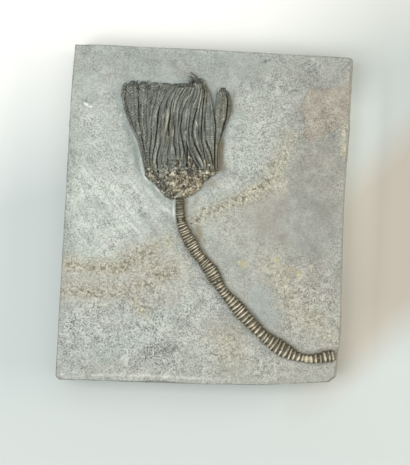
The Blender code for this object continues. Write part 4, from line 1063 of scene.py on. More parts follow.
def face_places(sides):
    """Places of the face's points, row after row, on a patch stretched between its four worn edges."""
    bottom, right, top, left = (worn_edge(side) for side in sides)
    top, left = top[::-1], left[::-1]
    left[0], left[-1], right[0], right[-1] = bottom[0], top[0], bottom[-1], top[-1]
    u = np.linspace(0, 1, FACE_COLUMNS)[None, :, None]
    v = np.linspace(0, 1, FACE_ROWS)[:, None, None]
    corners = (1 - v) * ((1 - u) * bottom[0] + u * bottom[-1]) + v * ((1 - u) * top[0] + u * top[-1])
    face = (1 - v) * bottom + v * top + (1 - u) * left[:, None] + u * right[:, None] - corners
    return face.reshape(-1, 2)


def side_rings(outline, rim, rim_height):
    """Rings of points down the slab's broken sides, from under the face's rim to the back."""
    inset = np.hypot(*(outline - rim).T)
    rings = []
    for down, share, wander in SIDE_RINGS:
        level = FACE - down + rim_height * max(0.0, 1 - down / RIM_FADE)
        spot = np.column_stack([outline, level])
        broken = np.abs(lumps(spot, 7.0, 23)) + 0.35 * np.abs(lumps(spot, 2.2, 24))
        broken += 0.3 * lumps(spot, 1.1, 25)
        ledges = 0.5 * eased(lumps(spot * (0.45, 0.45, 1.0), 3.2, 28), 0.02, 0.12)
        bedding = 0.4 * lumps(spot * (0.2, 0.2, 1.0), 1.2, 26)
        strip = inset if down < BACK_EDGE else BACK_EDGE_WIDTH
        shift = share * strip + wander * (broken + ledges + bedding)
        rings.append(np.column_stack([drawn_in(outline, np.maximum(shift, 0.0)), level]))
    rings[-1][:, 2] = 0.0
    return rings


def back_places(edge):
    """Places of the back's points inside its edge."""
    across, up = np.meshgrid(np.arange(-58, 58, BACK_STEP), np.arange(-69, 69, BACK_STEP))
    within = np.column_stack([across.ravel(), up.ravel()])
    return within[distance_outside(within, edge[::8]) < -BACK_STEP / 2]


def hidden_marks(hidden):
    """Marks of the rock's sides and back: its beds, blotches and some rust."""
    beds, blotches = lumps(hidden * (0.07, 0.07, 1.0), 1.0, 29), lumps(hidden, 8.0, 30)
    rusty = eased(lumps(hidden * (0.35, 0.35, 1.0), 2.6, 39), 0.15, 0.55)
    return {
        "light": 0.95 + 0.10 * beds + 0.08 * blotches, "warm": 0.4 + 0.6 * np.maximum(0.0, blotches),
        "brown": 0.45 * rusty, "rough": np.full(len(hidden), 0.9),
    }


def slab(look):
    """The plate of rock: its face, its broken sides and its nearly flat back."""
    sides = slab_sides()
    places = face_places(sides)
    height, marks = face_relief(places)
    index = np.arange(len(places)).reshape(FACE_ROWS, FACE_COLUMNS)
    rim = np.concatenate([index[0, :-1], index[:-1, -1], index[-1, :0:-1], index[:0:-1, 0]])
    rings = side_rings(np.vstack([side[:-1, :2] for side in sides]), places[rim], height[rim])
    faces = grid_faces(FACE_ROWS, FACE_COLUMNS)
    above = rim
    for number in range(len(rings)):
        below = len(places) + number * len(rim) + np.arange(len(rim))
        faces += band_faces(above, below)
        above = below
    edge = rings[-1][:, :2]
    within = back_places(edge)
    _, triangles = filled(edge, within)
    faces += [[above[0] + corner for corner in triangle] for triangle in triangles]
    dips = 0.25 * np.maximum(0.0, lumps(within, 9.0, 27))
    points = np.vstack([np.column_stack([places, FACE + height]), *rings, np.column_stack([within, dips])])
    hidden = points[len(places):]
    others = hidden_marks(hidden)
    for name in marks:
        marks[name] = np.concatenate([marks[name], others.get(name, np.zeros(len(hidden)))])
    # the side mark: sides and back darker and the rim half as dark, partly their own darker rock and partly
    # painted shade
    marks["side"] = np.concatenate([np.zeros(len(places)), np.ones(len(hidden))])
    marks["side"][rim] = 0.5
    piece("siltstone_slab", points, faces, look, ["matrix_slab"], marks, smooth_under=75)


# ---------------------------------------------------------------- the stem

COLUMNAL_PITCHES = (         # share of the stem's length, and the thickness of its plates there
    (0.0, 0.74), (0.05, 0.85), (0.12, 1.16), (0.32, 1.2), (0.42, 1.4), (0.52, 1.62), (0.62, 1.8),
    (0.8, 1.92), (1.0, 1.8),
)
# crest: light on each plate's rim and dark in its seams, partly dark seams and partly painted shade; the
# darkest band, just past the rim, is a painted shadow line
COLUMNAL_PROFILE = (         # share of a plate's thickness, share of its radius, crest
    (0.0, 0.865, 0.28), (0.09, 0.86, 0.30), (0.19, 0.86, 0.22), (0.28, 0.92, 0.5), (0.36, 1.0, 0.9),
    (0.46, 1.035, 1.0), (0.57, 1.03, 1.0), (0.68, 0.99, 0.85), (0.77, 0.90, 0.2), (0.85, 0.84, 0.0),
    (0.93, 0.855, 0.12),
)
STEM_SIDES = 38
STEM_TUCK = 0.42             # how far its plates turn in under their sides, in radians
STEM_FOOT = 1.25             # how far below its axis they end, in the rock
STEM_SEED = 11
# shares of its length, and the angle round it at which its plates get a painted glint there
GLINT_TURNS = ((0.0, 0.3, 0.62, 0.72, 0.9, 1.0), (1.6, 1.75, 1.5, 0.9, 1.2, 1.5))
STEM_TOP = (-10.85, 8.9, 1.7)     # its covered end, just under the calyx
STEM_KNOTS = (               # x, y, radius and strength of the dark knots and holes in it
    (-8.6, -1.3, 1.3, 1.0), (-11.1, -1.6, 0.9, 0.5), (6.6, -26.5, 0.9, 0.9), (3.7, -26.0, 0.7, 0.6),
    (8.0, -29.6, 0.9, 0.8), (34.3, -53.8, 0.8, 0.8), (20.6, -40.8, 0.8, 0.6), (-5.7, -8.8, 0.7, 0.5),
    (16.5, -34.4, 0.7, 0.6),
)
WAXY_PLATES = (45.9, -57.3, 2.2, 1.6)     # x, y and radii of the greenish plates near its free end


def columnal_seams(length):
    """Distances of the seams between the stem's plates from the calyx."""
    shares, pitches = zip(*COLUMNAL_PITCHES)
    seams = [0.0]
    while seams[-1] < length:
        seams.append(seams[-1] + float(np.interp(seams[-1] / length, shares, pitches)))
    return np.array(seams) * length / seams[-1]


def point_at(line, passed, distance):
    """The point of a line at a distance along it."""
    return np.array([np.interp(distance, passed, values) for values in line.T])


def columnals():
    """Rings of points round the stem's plates, each a little out of line and of round, and their marks."""
    draw = np.random.default_rng(STEM_SEED)
    route = np.vstack([STEM_TOP, STEM_LINE])
    passed = lengths_along(route)
    seams = columnal_seams(passed[-1])
    seams[2:-1] += draw.uniform(-0.13, 0.13, len(seams) - 3) * np.diff(seams)[1:-1]
    angles = np.linspace(-STEM_TUCK, math.pi + STEM_TUCK, STEM_SIDES)
    rings, crests, painted_glints = [], [], []
    for number, (seam, next_seam) in enumerate(zip(seams, seams[1:])):
        wide = 1 + 0.035 * (number % 2) + draw.uniform(-0.03, 0.03)
        lean, shift, sink = draw.uniform(-0.10, 0.10), draw.uniform(-0.09, 0.09), draw.uniform(-0.12, 0.08)
        bright, phase, worn = draw.uniform(0.0, 1.0), draw.uniform(0, 6.28), draw.uniform(0.2, 1.0)
        bow = draw.uniform(-0.1, 0.45)
        for part, share, crest in COLUMNAL_PROFILE:
            if number == 0 and part < 0.1:
                continue
            distance = seam + (next_seam - seam) * part
            x, y, radius = point_at(route, passed, distance)
            ahead = (point_at(route, passed, distance + 0.5) - point_at(route, passed, distance - 0.5))[:2]
            ahead /= np.hypot(*ahead)
            across = np.array([ahead[1], -ahead[0]])
            out = radius * share * wide
            dented = 1 + 0.02 * np.cos(2 * angles + phase) + 0.025 * np.cos(5 * angles + 2 * phase)
            dented += 0.012 * crest * np.cos(17 * angles)
            off = out * dented * np.cos(angles) + shift * crest
            up = out * dented * np.sin(angles) * 0.98
            bent = lean * off + bow * np.maximum(np.sin(angles), 0.0)
            middle = np.array([x, y]) + across * off[:, None] + ahead * bent[:, None]
            level = STEM_AXIS + np.maximum(up, -STEM_FOOT) + sink * crest
            rings.append(np.column_stack([middle, level]))
            turn = np.interp(distance / passed[-1], *GLINT_TURNS)
            # painted light and shade round each plate: lighter towards its painted glint, darker on its side
            # away from the light
            painted_light_and_shade = 0.62 + 0.45 * dome(angles - turn, 0.75) - 0.45 * dome(angles - 3.0, 0.55)
            nicks = 1 + 0.3 * np.cos(3 * angles + 5 * phase) * np.cos(2 * angles + phase)
            crests.append(crest * painted_light_and_shade * nicks * (0.72 + 0.28 * worn))
            # painted glint: a cream highlight painted along each plate's rim, where it faces the light
            painted_glint = dome(angles - turn - 0.25 * math.cos(phase), 0.26 + 0.28 * bright)
            painted_glints.append(eased(crest, 0.8, 1.0) * painted_glint * (0.3 + 0.7 * worn) * (0.45 + 0.6 * bright))
    return np.array(rings), np.ravel(crests), np.ravel(painted_glints)


def stem(look):
    """The stack of ring-shaped plates, dull at its neck, crumbled at its free end, and knotted in places."""
    rings, crests, painted_glints = columnals()
    points, faces = lofted(rings)
    points[:, :2] += 0.05 * np.column_stack([lumps(points, 0.9, 31), lumps(points, 0.9, 32)])
    points[:, 2] += 0.08 * lumps(points, 1.2, 33)
    knots = np.zeros(len(points))
    for x, y, radius, strength in STEM_KNOTS:
        away = np.hypot(points[:, 0] - x, points[:, 1] - y)
        knots = np.maximum(knots, strength * (1 - eased(away, 0.3 * radius, radius)))
    points[:, 2] -= 0.35 * knots
    share = np.repeat(np.linspace(0, 1, len(rings)), STEM_SIDES)
    waxy = patch(points, *WAXY_PLATES)
    neck = 1 - eased(share, 0.09, 0.15)
    broken = 1 + 0.25 * lumps(points, 1.3, 35) + 0.35 * lumps(points, 0.55, 37)
    dull = eased(lumps(points, 2.6, 38), -0.1, 0.6)
    crumbled = eased(share, 0.90, 0.95)
    crest = crests * broken
    crest = crest * (1 - neck) + neck * (0.25 + 0.44 * (crest - 0.4) + 0.15 * lumps(points, 1.6, 36))
    crest -= 0.5 * (1 - eased(share, 0.015, 0.03))
    # here the cream mark carries the painted glints, dimmed in broad patches and left off the neck, knots,
    # dull and crumbled places and waxy plates
    cream = painted_glints * (0.5 + 0.5 * eased(lumps(points, 6.0, 34), -0.4, 0.3))
    for covered in (neck, knots, 0.6 * dull, 0.55 * crumbled, waxy):
        cream *= 1 - covered
    marks = {
        "crest": np.clip(crest * (1 - 0.35 * dull) + 0.5 * waxy - 0.8 * knots, 0, 1.2), "cream": cream,
        "warm": np.maximum(0.6 * eased(share, 0.08, 0.14), waxy),
    }
    piece("stem_rings", points, faces, look, ["stem"], marks, smooth_under=70)


# ---------------------------------------------------------------- the arms

ARM_STEP = 0.17              # between the points across and along an arm
ARM_ARCH = 0.16              # how much lower the edges of an arm's back are
STREAK_WIDTH, STREAK_LENGTH = 0.62, 7.0
PINNULE_PITCH, PINNULE_ANGLE = 0.84, 40      # the angle in degrees off the arm
TIP_LENGTH, FEATHER = 0.6, 0.15              # a rounded tip's length in widths, and how clear pinnules are
# what differs from that in some arms, by their numbers
ARM_ANGLES = {18: 86, 19: 42}
TIP_LENGTHS = {1: 0.9, 2: 0.55, 3: 1.0, 4: 0.9, 5: 0.4, 19: 0.35}
FEATHERED = {1: 0.7, 2: 1.0, 3: 1.0, 4: 1.0, 5: 0.8, 6: 0.35, 12: 0.2, 18: 0.6, 19: 0.8}
ARM_RIBS = {2: (-0.4, 0.6), 3: (0.0,), 5: (0.6,), 18: (-0.8, 0.82), 19: (-0.55,)}    # places across, -1 to 1
STALKED_ARM, STALK_GROOVE = 19, 0.5          # the arm that stands apart, and the place of its stalk's groove


def arm_rise(x, share):
    """How far the back of an arm stands over the face."""
    aside = np.minimum(np.abs(x - CROWN_MIDDLE_X) / CROWN_HALF_WIDTH, 1.0)
    return (ARM_RISE - ARM_SIDE_DROP * aside**2) * (1 - 0.5 * share**3)


def arm_grid(number, left, right):
    """The grid of points on an arm's back, as shares along it and across it, half widths and places."""
    length = lengths_along(left)[-1]
    width = np.hypot(*(evenly(left, [0.75]) - evenly(right, [0.75]))[0])
    tip = TIP_LENGTHS.get(number, TIP_LENGTH) * max(width, 1.2) / length
    stations = np.linspace(0, 1, math.ceil(length / ARM_STEP))
    stations[-1] = 1 - tip * 0.02
    columns = int(np.clip(math.ceil(width / ARM_STEP), 9, 29)) | 1
    west, east = evenly(left, stations), evenly(right, stations)
    into_tip = np.maximum(0.0, (stations - 1 + tip) / tip)
    middle = (west + east) / 2
    half = (east - west) / 2 * np.sqrt(1 - into_tip**2)[:, None]
    across = np.linspace(-1, 1, columns)[None, :]
    places = (middle[:, None] + half[:, None] * across[..., None]).reshape(-1, 2)
    return stations, into_tip, middle, np.hypot(*half.T)[:, None], across, places


def from_ribs(number, stations, across, reach):
    """Distances from an arm's nearest rib, or from its middle where it has none."""
    if number not in ARM_RIBS:
        return np.abs(across * reach)
    distance = np.full((len(stations), across.shape[1]), np.inf)
    wander = 0.12 * lumps(np.column_stack([stations * 9, np.full(len(stations), number)]), 1.0, 5)[:, None]
    for rib in ARM_RIBS[number]:
        distance = np.minimum(distance, np.abs(across - (rib + wander)) * reach)
    return distance


def arm_fibres(number, passed, across, reach, rib_distance, places, soft):
    """The streaks along an arm, its ribs and its slanting pinnules, each as a height."""
    shape = soft.shape
    combed = np.column_stack([(across * reach / STREAK_WIDTH + 0.25 * soft).ravel(),
                              np.broadcast_to(passed / STREAK_LENGTH, shape).ravel()])
    streaks = 1.5 * lumps(combed, 1.0, 120 + number).reshape(shape)
    ribs = np.zeros(shape)
    if number in ARM_RIBS:
        ribs = dome(rib_distance, 0.22) * (0.6 + 0.6 * soft)
    angle = math.radians(ARM_ANGLES.get(number, PINNULE_ANGLE))
    wobble = lumps(places, 1.6, 80 + number).reshape(shape)
    phase = (passed * math.sin(angle) - rib_distance * math.cos(angle)) / PINNULE_PITCH + 0.6 * wobble
    return streaks, ribs, np.cos(2 * math.pi * phase) * (0.6 + 0.9 * soft) * FEATHERED.get(number, FEATHER)


def arm(number, left, right, look):
    """One arm: streaky ribs along it, and pinnules that slant up from them to the grooves beside the arm."""
    name = f"arm_{number:02d}"
    length = lengths_along(left)[-1]
    stations, into_tip, middle, reach, across, places = arm_grid(number, left, right)
    shape = (len(stations), across.shape[1])
    passed = (stations * length)[:, None]
    rough = lumps(places, 0.75, 40 + number).reshape(shape)
    soft = lumps(places, 2.6, 60 + number).reshape(shape)
    rib_distance = from_ribs(number, stations, across, reach)
    streaks, ribs, pinnules = arm_fibres(number, passed, across, reach, rib_distance, places, soft)
    rise = FACE + arm_rise(middle[:, 0], stations)[:, None] - ARM_FLOOR
    arch = rise - ARM_ARCH * np.minimum(reach, 1.0) * np.abs(across)**2.4
    # the seam sinks the arm's edges and paints them darker, partly dark matrix and partly painted shade
    # where the arms meet
    seam = 0.22 * dome((1 - np.abs(across)) * reach, 0.14)
    stalk, painted_stalk_shade = np.zeros(shape), 0.0
    if number == STALKED_ARM:
        stalk = dome((across - STALK_GROOVE) * reach, 0.26) * (1 - eased(passed, length - 4, length - 1))
        arch -= 0.9 * eased(across, STALK_GROOVE, 1.0)
        # painted shade on the outer strip past the stalk's groove
        painted_stalk_shade = 0.16 * eased(across, STALK_GROOVE - 0.1, STALK_GROOVE + 0.2)
    marked = (values.reshape(shape) for values in (*crown_marks(places), *rubble(places)))
    shared, shared_crest, cream, warm, low, grey, broken, broken_crest, chips = marked
    flat = patch(places, *COMBED_FLAT).reshape(shape)
    plain = (1 - low) * (1 - flat)
    feathered = FEATHERED.get(number, FEATHER)
    fibres = (0.17 - 0.07 * feathered) * streaks + 0.20 * pinnules + 0.15 * ribs
    relief = fibres * plain + 0.7 * broken * low + 0.10 * rough + 0.16 * soft
    relief = relief + shared - 0.9 * seam - 0.45 * stalk
    top = ARM_FLOOR + (arch + relief) * (1 - 0.55 * eased(into_tip, 0.0, 1.0))[:, None]
    back = np.dstack([places.reshape(*shape, 2), np.maximum(top, ARM_FLOOR + 0.35)])
    under = np.stack([back[:, -1], back[:, 0]], axis=1)
    under[..., 2] = ARM_FLOOR - 0.1
    points, faces = lofted(np.concatenate([back, under], axis=1))
    # crest: lighter on the ribs, a painted highlight, and darker at the seam and the stalk, partly painted
    # shade
    crest = ((0.32 - 0.16 * feathered) * streaks + 0.22 * pinnules + 0.18 * ribs) * plain
    crest += broken_crest * low + shared_crest + 0.50 + 0.28 * low - 0.06 * flat
    crest += 0.12 * soft + 0.18 * rough - 0.5 * seam - 0.3 * stalk - painted_stalk_shade
    cream = np.maximum(cream, 0.5 * chips * low * (1 - 0.5 * grey))
    marks = {}
    for key, values, under_value in (("crest", crest, 0.0), ("cream", cream, 0.0), ("warm", warm, 0.3)):
        values = np.hstack([values, np.full((len(stations), 2), under_value)])
        marks[key] = np.clip(values, 0, 1.3).ravel()
    piece(name + "_pinnules", points, faces, look, [name], marks, smooth_under=80)


def arms(look):
    number = 0
    for lines in (LEFT, RIGHT, APART):
        for left, right in zip(lines, lines[1:]):
            number += 1
            arm(number, left, right, look)


# ---------------------------------------------------------------- the calyx

CALYX_STEP = 0.25            # between its points
CALYX_LAP = 0.5              # how far it runs under the arms
CALYX_RISE, CALYX_EDGE_RISE = 3.4, 0.7
CALYX_SLOPE = 6.0            # width of the slope between its edge and its top


def calyx_places():
    """Even points of the calyx's outline, and places within it in staggered rows."""
    upper = np.array(CALYX_UPPER)[::-1] + (0.0, CALYX_LAP)
    right_count = len(RIGHT) + len(APART)
    outline = np.vstack([CALYX_LOWER_EDGE, upper[:right_count], RUBBLE_EDGE, upper[right_count:]])
    closed = np.vstack([outline, outline[:1]])
    count = math.ceil(lengths_along(closed)[-1] / CALYX_STEP)
    edge = evenly(closed, np.arange(count) / count)
    low, high = edge.min(axis=0), edge.max(axis=0)
    row = np.arange(low[0], high[0], CALYX_STEP)
    levels = np.arange(low[1], high[1], CALYX_STEP * math.sqrt(3) / 2)
    within = np.vstack([
        np.column_stack([row + CALYX_STEP * (number % 2) / 2, np.full(len(row), level)])
        for number, level in enumerate(levels)
    ])
    return edge, within[distance_outside(within, edge) < -CALYX_STEP / 2]


def calyx(look):
    """The knobbly cup: a dome of swollen plates, broken into small blocks of worn calcite."""
    edge, within = calyx_places()
    edges, faces = filled(edge, within)
    places = np.vstack([edge, within])
    from_edge, _ = nearest(places, np.array(CALYX_LOWER_EDGE))
    dome_rise = np.sqrt(1 - (1 - np.minimum(from_edge / CALYX_SLOPE, 1.0))**2)
    height = CALYX_EDGE_RISE + (CALYX_RISE - CALYX_EDGE_RISE) * dome_rise
    swell = np.zeros(len(places))
    for x, y, radius, rise in CALYX_PLATES:
        off = np.hypot(places[:, 0] - x, places[:, 1] - y) / radius
        swell = np.maximum(swell, rise * (1 - off**2))
    shared, shared_crest, cream, warm, _, grey = crown_marks(places)
    broken, broken_crest, chips = rubble(places)
    height += 0.75 * swell + broken + shared
    crest = 0.64 + 0.08 * swell + broken_crest + shared_crest
    cream = np.maximum(cream, chips * (1 - 0.6 * grey))
    height = np.maximum(height, 0.2) * eased(from_edge, -0.5, 0.35)
    under = np.column_stack([edge, np.full(len(edge), ARM_FLOOR)])
    points = np.vstack([np.column_stack([places, FACE + height]), under])
    base = len(places)
    faces += [[start, end, base + end, base + start] for start, end in edges]
    faces.append(list(range(base, len(points))))
    marks = {
        "crest": np.concatenate([np.clip(crest, 0, 1.2), np.zeros(len(edge))]),
        "cream": np.concatenate([cream, np.zeros(len(edge))]),
        "warm": np.concatenate([warm, np.full(len(edge), 0.5)]),
    }
    piece("calyx_plates", points, faces, look, ["calyx"], marks, smooth_under=50)


# ---------------------------------------------------------------- loose pinnules

CURLS = (                    # at the arms' tips: x, y, first heading and turn in degrees, length, radius
    (-36, 52.1, 100, -150, 3.4, 0.22), (-34.8, 53.8, 70, -160, 2.6, 0.22),
    (-33.4, 54.7, 100, -170, 2.2, 0.2), (-32.1, 54.8, 80, 150, 2, 0.2), (-31, 54, 92, -40, 2.3, 0.3),
    (-36.9, 49.1, 105, -120, 3, 0.22), (-29.2, 54.1, 110, -170, 2.2, 0.2), (-28.1, 54.6, 70, 120, 1.8, 0.2),
    (-26.6, 53.8, 92, -30, 2.5, 0.36), (-24.5, 53.5, 110, -160, 2.4, 0.2),
    (-23.5, 54.3, 95, -150, 2.2, 0.22), (-22.2, 54, 70, -140, 2.2, 0.2), (-20.9, 52.8, 60, -100, 2, 0.2),
    (-21.6, 52.3, 120, 150, 2, 0.18), (-25.4, 52.6, 120, 140, 1.8, 0.18), (-9.4, 54.6, 120, -120, 2.2, 0.2),
    (-10.6, 53.9, 100, -130, 2.4, 0.18), (-12.3, 53.8, 110, -120, 2.4, 0.18), (3.3, 52.6, 95, -140, 3, 0.2),
    (4.5, 53.9, 60, -120, 2.4, 0.2), (7.4, 51.1, 80, 70, 2.4, 0.18), (-35.1, 50.9, 95, 120, 2.2, 0.2),
    (-33.9, 52.2, 80, -150, 2.4, 0.18), (-29.7, 52.4, 100, 150, 2.2, 0.18),
)
TUFT = (                     # hair-like pinnules over the tallest arms: the same, and the crest
    (-4.9, 56.2, 118, 28, 6.0, 0.26, 0.3), (-5.3, 55.8, 126, 22, 5.0, 0.2, 0.45),
    (-5.7, 55.4, 116, 40, 4.4, 0.2, 0.3), (-4.2, 56.1, 112, 30, 4.6, 0.2, 0.25),
    (-9.4, 54.6, 86, -78, 4.2, 0.22, 0.45), (-8.9, 54.6, 80, -66, 3.8, 0.22, 0.3),
    (-8.2, 54.5, 84, -60, 3.6, 0.2, 0.5), (-7.7, 54.2, 88, -50, 3.4, 0.2, 0.3),
    (-7.2, 54.2, 92, -40, 3.4, 0.2, 0.4), (-9.6, 54.6, 78, -50, 2.4, 0.2, 0.35),
    (-7.9, 57.4, 150, 25, 2.0, 0.12, 0.4), (-8.4, 56.7, 156, 20, 1.7, 0.12, 0.5),
    (-7.6, 58.0, 142, 32, 2.4, 0.12, 0.35), (-6.7, 59.1, 150, 20, 2.4, 0.11, 0.35),
    (-4.8, 54.1, 104, 44, 3.4, 0.24, 0.95), (-4.1, 54.2, 100, 40, 3.6, 0.22, 0.7),
    (-5.4, 53.7, 112, 30, 3.0, 0.22, 0.9), (-6.1, 54.9, 96, 80, 2.0, 0.22, 1.0),
    (-6.8, 55.2, 70, -90, 1.8, 0.2, 0.8), (-3.6, 54.2, 104, 36, 3.8, 0.22, 0.4),
    (-2.6, 54.2, 112, 26, 4.2, 0.3, 0.3), (-2.0, 53.4, 114, 22, 4.4, 0.28, 0.35),
    (-3.1, 54.6, 112, 30, 3.8, 0.28, 0.25), (-1.4, 52.6, 112, 20, 3.6, 0.26, 0.3),
    (-7.3, 56.2, 80, 30, 1.0, 0.42, 0.0), (-5.7, 53.8, 60, 40, 0.8, 0.3, 0.0),
    (-7.6, 55.7, 100, -60, 1.0, 0.3, 0.02),
)
CURL_LEVEL, TUFT_LEVEL = 2.0, 2.4        # how far over the face they set off
HAIR_POINTS, HAIR_SIDES = 12, 7
HAIR_SEED = 5
KNOB_RING = (4.1, 21.7, 0.85, 0.62, 0.26)    # x, y, radii and thickness of the brown ring by the last arm
RING_LEVEL, RING_POINTS, RING_SIDES = 0.55, 22, 9


def tube(line, radii, sides):
    """Rings of points round a line in space."""
    ahead = np.gradient(line, axis=0)
    ahead /= np.linalg.norm(ahead, axis=1)[:, None]
    aside = np.cross(ahead, (0.0, 0.0, 1.0))
    aside /= np.linalg.norm(aside, axis=1)[:, None]
    over = np.cross(aside, ahead)
    turn = np.linspace(0, 2 * math.pi, sides, endpoint=False)[None, :, None]
    spokes = aside[:, None] * np.cos(turn) + over[:, None] * np.sin(turn)
    return line[:, None] + radii[:, None, None] * spokes


def curled(x, y, heading, turn, length, level, drop):
    """A line that sets off level at a heading and bends as it goes, sinking by the drop."""
    share = np.linspace(0, 1, HAIR_POINTS)
    angles = np.radians(heading + turn * share**1.2)
    steps = length / (HAIR_POINTS - 1) * np.column_stack([np.cos(angles), np.sin(angles)])
    line = np.vstack([[0.0, 0.0], np.cumsum(steps[:-1], axis=0)]) + (x, y)
    return np.column_stack([line, level + 0.25 * np.sin(math.pi * share) - drop * share])


def joined(name, bodies, look, crests):
    """One piece from several closed bodies, each with its own crest."""
    points, faces, shades = [], [], []
    for (body_points, body_faces), crest in zip(bodies, crests):
        first = sum(len(part) for part in points)
        points.append(body_points)
        faces += [[first + corner for corner in face] for face in body_faces]
        shades.append(np.full(len(body_points), crest))
    points = np.vstack(points)
    crest = np.concatenate(shades) + 0.2 * lumps(points, 0.7, 210)
    marks = {"crest": crest, "cream": np.zeros(len(points)), "warm": np.full(len(points), 0.25)}
    piece(name, points, faces, look, (), marks, smooth_under=80)


def loose_pinnules(look):
    """The curls at the arms' tips and the tuft's hairs: thin beaded tubes that taper."""
    draw = np.random.default_rng(HAIR_SEED)
    for name, rows, level in (("tip_curls", CURLS, CURL_LEVEL), ("tuft", TUFT, TUFT_LEVEL)):
        bodies, crests = [], []
        for x, y, heading, turn, length, radius, *crest in rows:
            start = FACE + level + draw.uniform(-0.2, 0.3)
            line = curled(x, y, heading, turn, length, start, draw.uniform(0.7, 1.4))
            radii = 1.35 * radius * (1 - 0.45 * np.linspace(0, 1, len(line)))
            radii *= 1 + 0.14 * np.cos(np.arange(len(line)) * 2.6)
            bodies.append(lofted(tube(line, radii, HAIR_SIDES)))
            crests.append(crest[0] if crest else draw.choice((0.22, 0.4, 0.85)))
        joined(name, bodies, look, crests)


def knob_ring(look):
    """The small brown ring, perhaps a broken plate, beside the foot of the arm that stands apart."""
    x, y, across, up, thick = KNOB_RING
    turn = np.linspace(0, 2 * math.pi, RING_POINTS, endpoint=False)
    level = FACE + RING_LEVEL + 0.12 * np.sin(2 * turn)
    line = np.column_stack([x + across * np.cos(turn), y + up * np.sin(turn), level])
    ring = tube(np.vstack([line[-1:], line, line[:1]]), np.full(RING_POINTS + 2, thick), RING_SIDES)[1:-1]
    points = ring.reshape(-1, 3)
    faces = grid_faces(RING_POINTS, RING_SIDES, closed=True)
    first = np.arange(RING_SIDES)
    faces += band_faces((RING_POINTS - 1) * RING_SIDES + first, first)
    crest = 0.35 + 0.3 * lumps(points, 0.8, 211)
    marks = {"crest": crest, "cream": np.zeros(len(points)), "warm": np.ones(len(points))}
    piece("brown_ring", points, faces, look, (), marks, smooth_under=80)


# ---------------------------------------------------------------- build

looks = {name: calcite(name, *values) for name, values in CALCITES.items()}
slab(siltstone())
stem(looks["stem_calcite"])
arms(looks["arm_calcite"])
calyx(looks["calyx_calcite"])
loose_pinnules(looks["arm_calcite"])
knob_ring(looks["calyx_calcite"])


# ---------------------------------------------------------------- floor, light and camera, in metres

FLOOR_HALF, FLOOR_LEVEL = 3.0, -0.0002
LIGHTS = (                   # name, place, what it points at, size, power, colour
    ("key", (-0.42, -0.09, 0.80), (0, 0, 0.018), 0.62, 5.5, (1.0, 0.98, 0.955)),
    ("warm", (0.62, 0.06, 0.24), (0.07, 0, 0), 0.5, 3.0, (1.0, 0.88, 0.72)),
    ("fill", (0.0, 0.25, 1.1), (0, 0, 0), 1.4, 3.2, (0.98, 1.0, 0.985)),
)
SKY, SKY_STRENGTH = (0.95, 0.975, 0.955, 1.0), 0.40
CAMERA_HEIGHT = 0.62         # above the slab's face
CAMERA_PLACE = (0.00049, -0.00616)
CAMERA_TURN = math.radians(2.6)
VIEW_LENGTH = 0.1953         # what the picture's long side shows at the face
SENSOR = 36.0                # millimetres


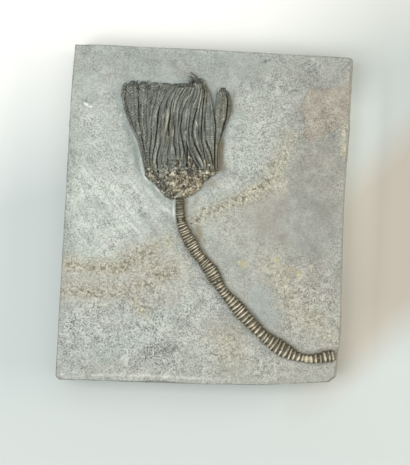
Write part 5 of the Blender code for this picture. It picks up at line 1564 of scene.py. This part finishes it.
def floor_colour(tree):
    """The photo's uneven pale background, as soft changes of shade across the floor."""
    place = node(tree, "ShaderNodeTexCoord").outputs["Object"]
    split = node(tree, "ShaderNodeSeparateXYZ", {0: place})
    x, y = split.outputs["X"], split.outputs["Y"]
    # painted light and shade: the floor is lighter towards the top and darker towards the bottom and the
    # right
    slant = maths(tree, "SUBTRACT", y, product(tree, x, 0.35))
    slant = maths(tree, "SUBTRACT", slant, ranged(tree, x, 0.0, 0.08, 0.0, 0.012))
    colour = mixed(tree, ranged(tree, slant, 0.03, 0.09), (0.57, 0.625, 0.625), (0.88, 0.90, 0.885))
    # painted shade: darker still towards the lower right
    corner = product(tree, ranged(tree, x, 0.02, 0.075), ranged(tree, y, -0.06, -0.03))
    colour = toned(tree, colour, corner, (0.85, 0.85, 0.85))
    # a painted warm shadow, low on the right of the slab
    band = maths(tree, "ABSOLUTE", added(tree, maths(tree, "SUBTRACT", y, x), 0.087))
    band = product(tree, ranged(tree, x, 0.035, 0.07), ranged(tree, band, 0.031, 0.054, 1.0, 0.0))
    colour = toned(tree, colour, band, (0.93, 0.80, 0.71))
    # painted light on the floor just right of the slab, to lift the slab's own shadow there
    painted_tone_beside = product(tree, ranged(tree, x, 0.054, 0.059), ranged(tree, x, 0.062, 0.076, 0.65, 0.0))
    painted_tone_beside = product(tree, painted_tone_beside, ranged(tree, maths(tree, "ABSOLUTE", y), 0.05, 0.075, 1.0, 0.0))
    painted_tone_beside = product(tree, painted_tone_beside, ranged(tree, y, -0.12, 0.05))
    return shaded(tree, colour, added(tree, painted_tone_beside, 1.0))


def floor():
    mesh = bpy.data.meshes.new("floor")
    corners = [(x * FLOOR_HALF, y * FLOOR_HALF, 0) for x, y in ((-1, -1), (1, -1), (1, 1), (-1, 1))]
    mesh.from_pydata(corners, [], [(0, 1, 2, 3)])
    made = bpy.data.objects.new("floor", mesh)
    made.location.z = FLOOR_LEVEL
    bpy.context.scene.collection.objects.link(made)
    look, tree, shader = material("floor_paper", 0.85, 0.2)
    tree.links.new(floor_colour(tree), shader.inputs["Base Color"])
    mesh.materials.append(look)


def area_light(name, place, aim, size, power, colour):
    lamp = bpy.data.lights.new(name, "AREA")
    lamp.shape = "SQUARE"
    lamp.size = size
    lamp.energy = power
    lamp.color = colour
    made = bpy.data.objects.new(name, lamp)
    made.location = place
    made.rotation_euler = (Vector(aim) - Vector(place)).to_track_quat("-Z", "Y").to_euler()
    bpy.context.scene.collection.objects.link(made)


def studio():
    """The lights and the pale sky."""
    for light in LIGHTS:
        area_light(*light)
    world = bpy.data.worlds.new("studio")
    bpy.context.scene.world = world
    world.use_nodes = True
    sky = world.node_tree.nodes["Background"]
    sky.inputs["Color"].default_value = SKY
    sky.inputs["Strength"].default_value = SKY_STRENGTH
    bpy.context.scene.view_settings.view_transform = "Standard"


def camera():
    """A camera that looks straight down on the face, turned as the photo is."""
    lens = bpy.data.cameras.new("camera")
    lens.sensor_width = SENSOR
    lens.lens = SENSOR * CAMERA_HEIGHT / VIEW_LENGTH
    made = bpy.data.objects.new("camera", lens)
    made.location = (*CAMERA_PLACE, FACE * MM + CAMERA_HEIGHT)
    made.rotation_euler = (0, 0, CAMERA_TURN)
    bpy.context.scene.collection.objects.link(made)
    bpy.context.scene.camera = made


floor()
studio()
camera()
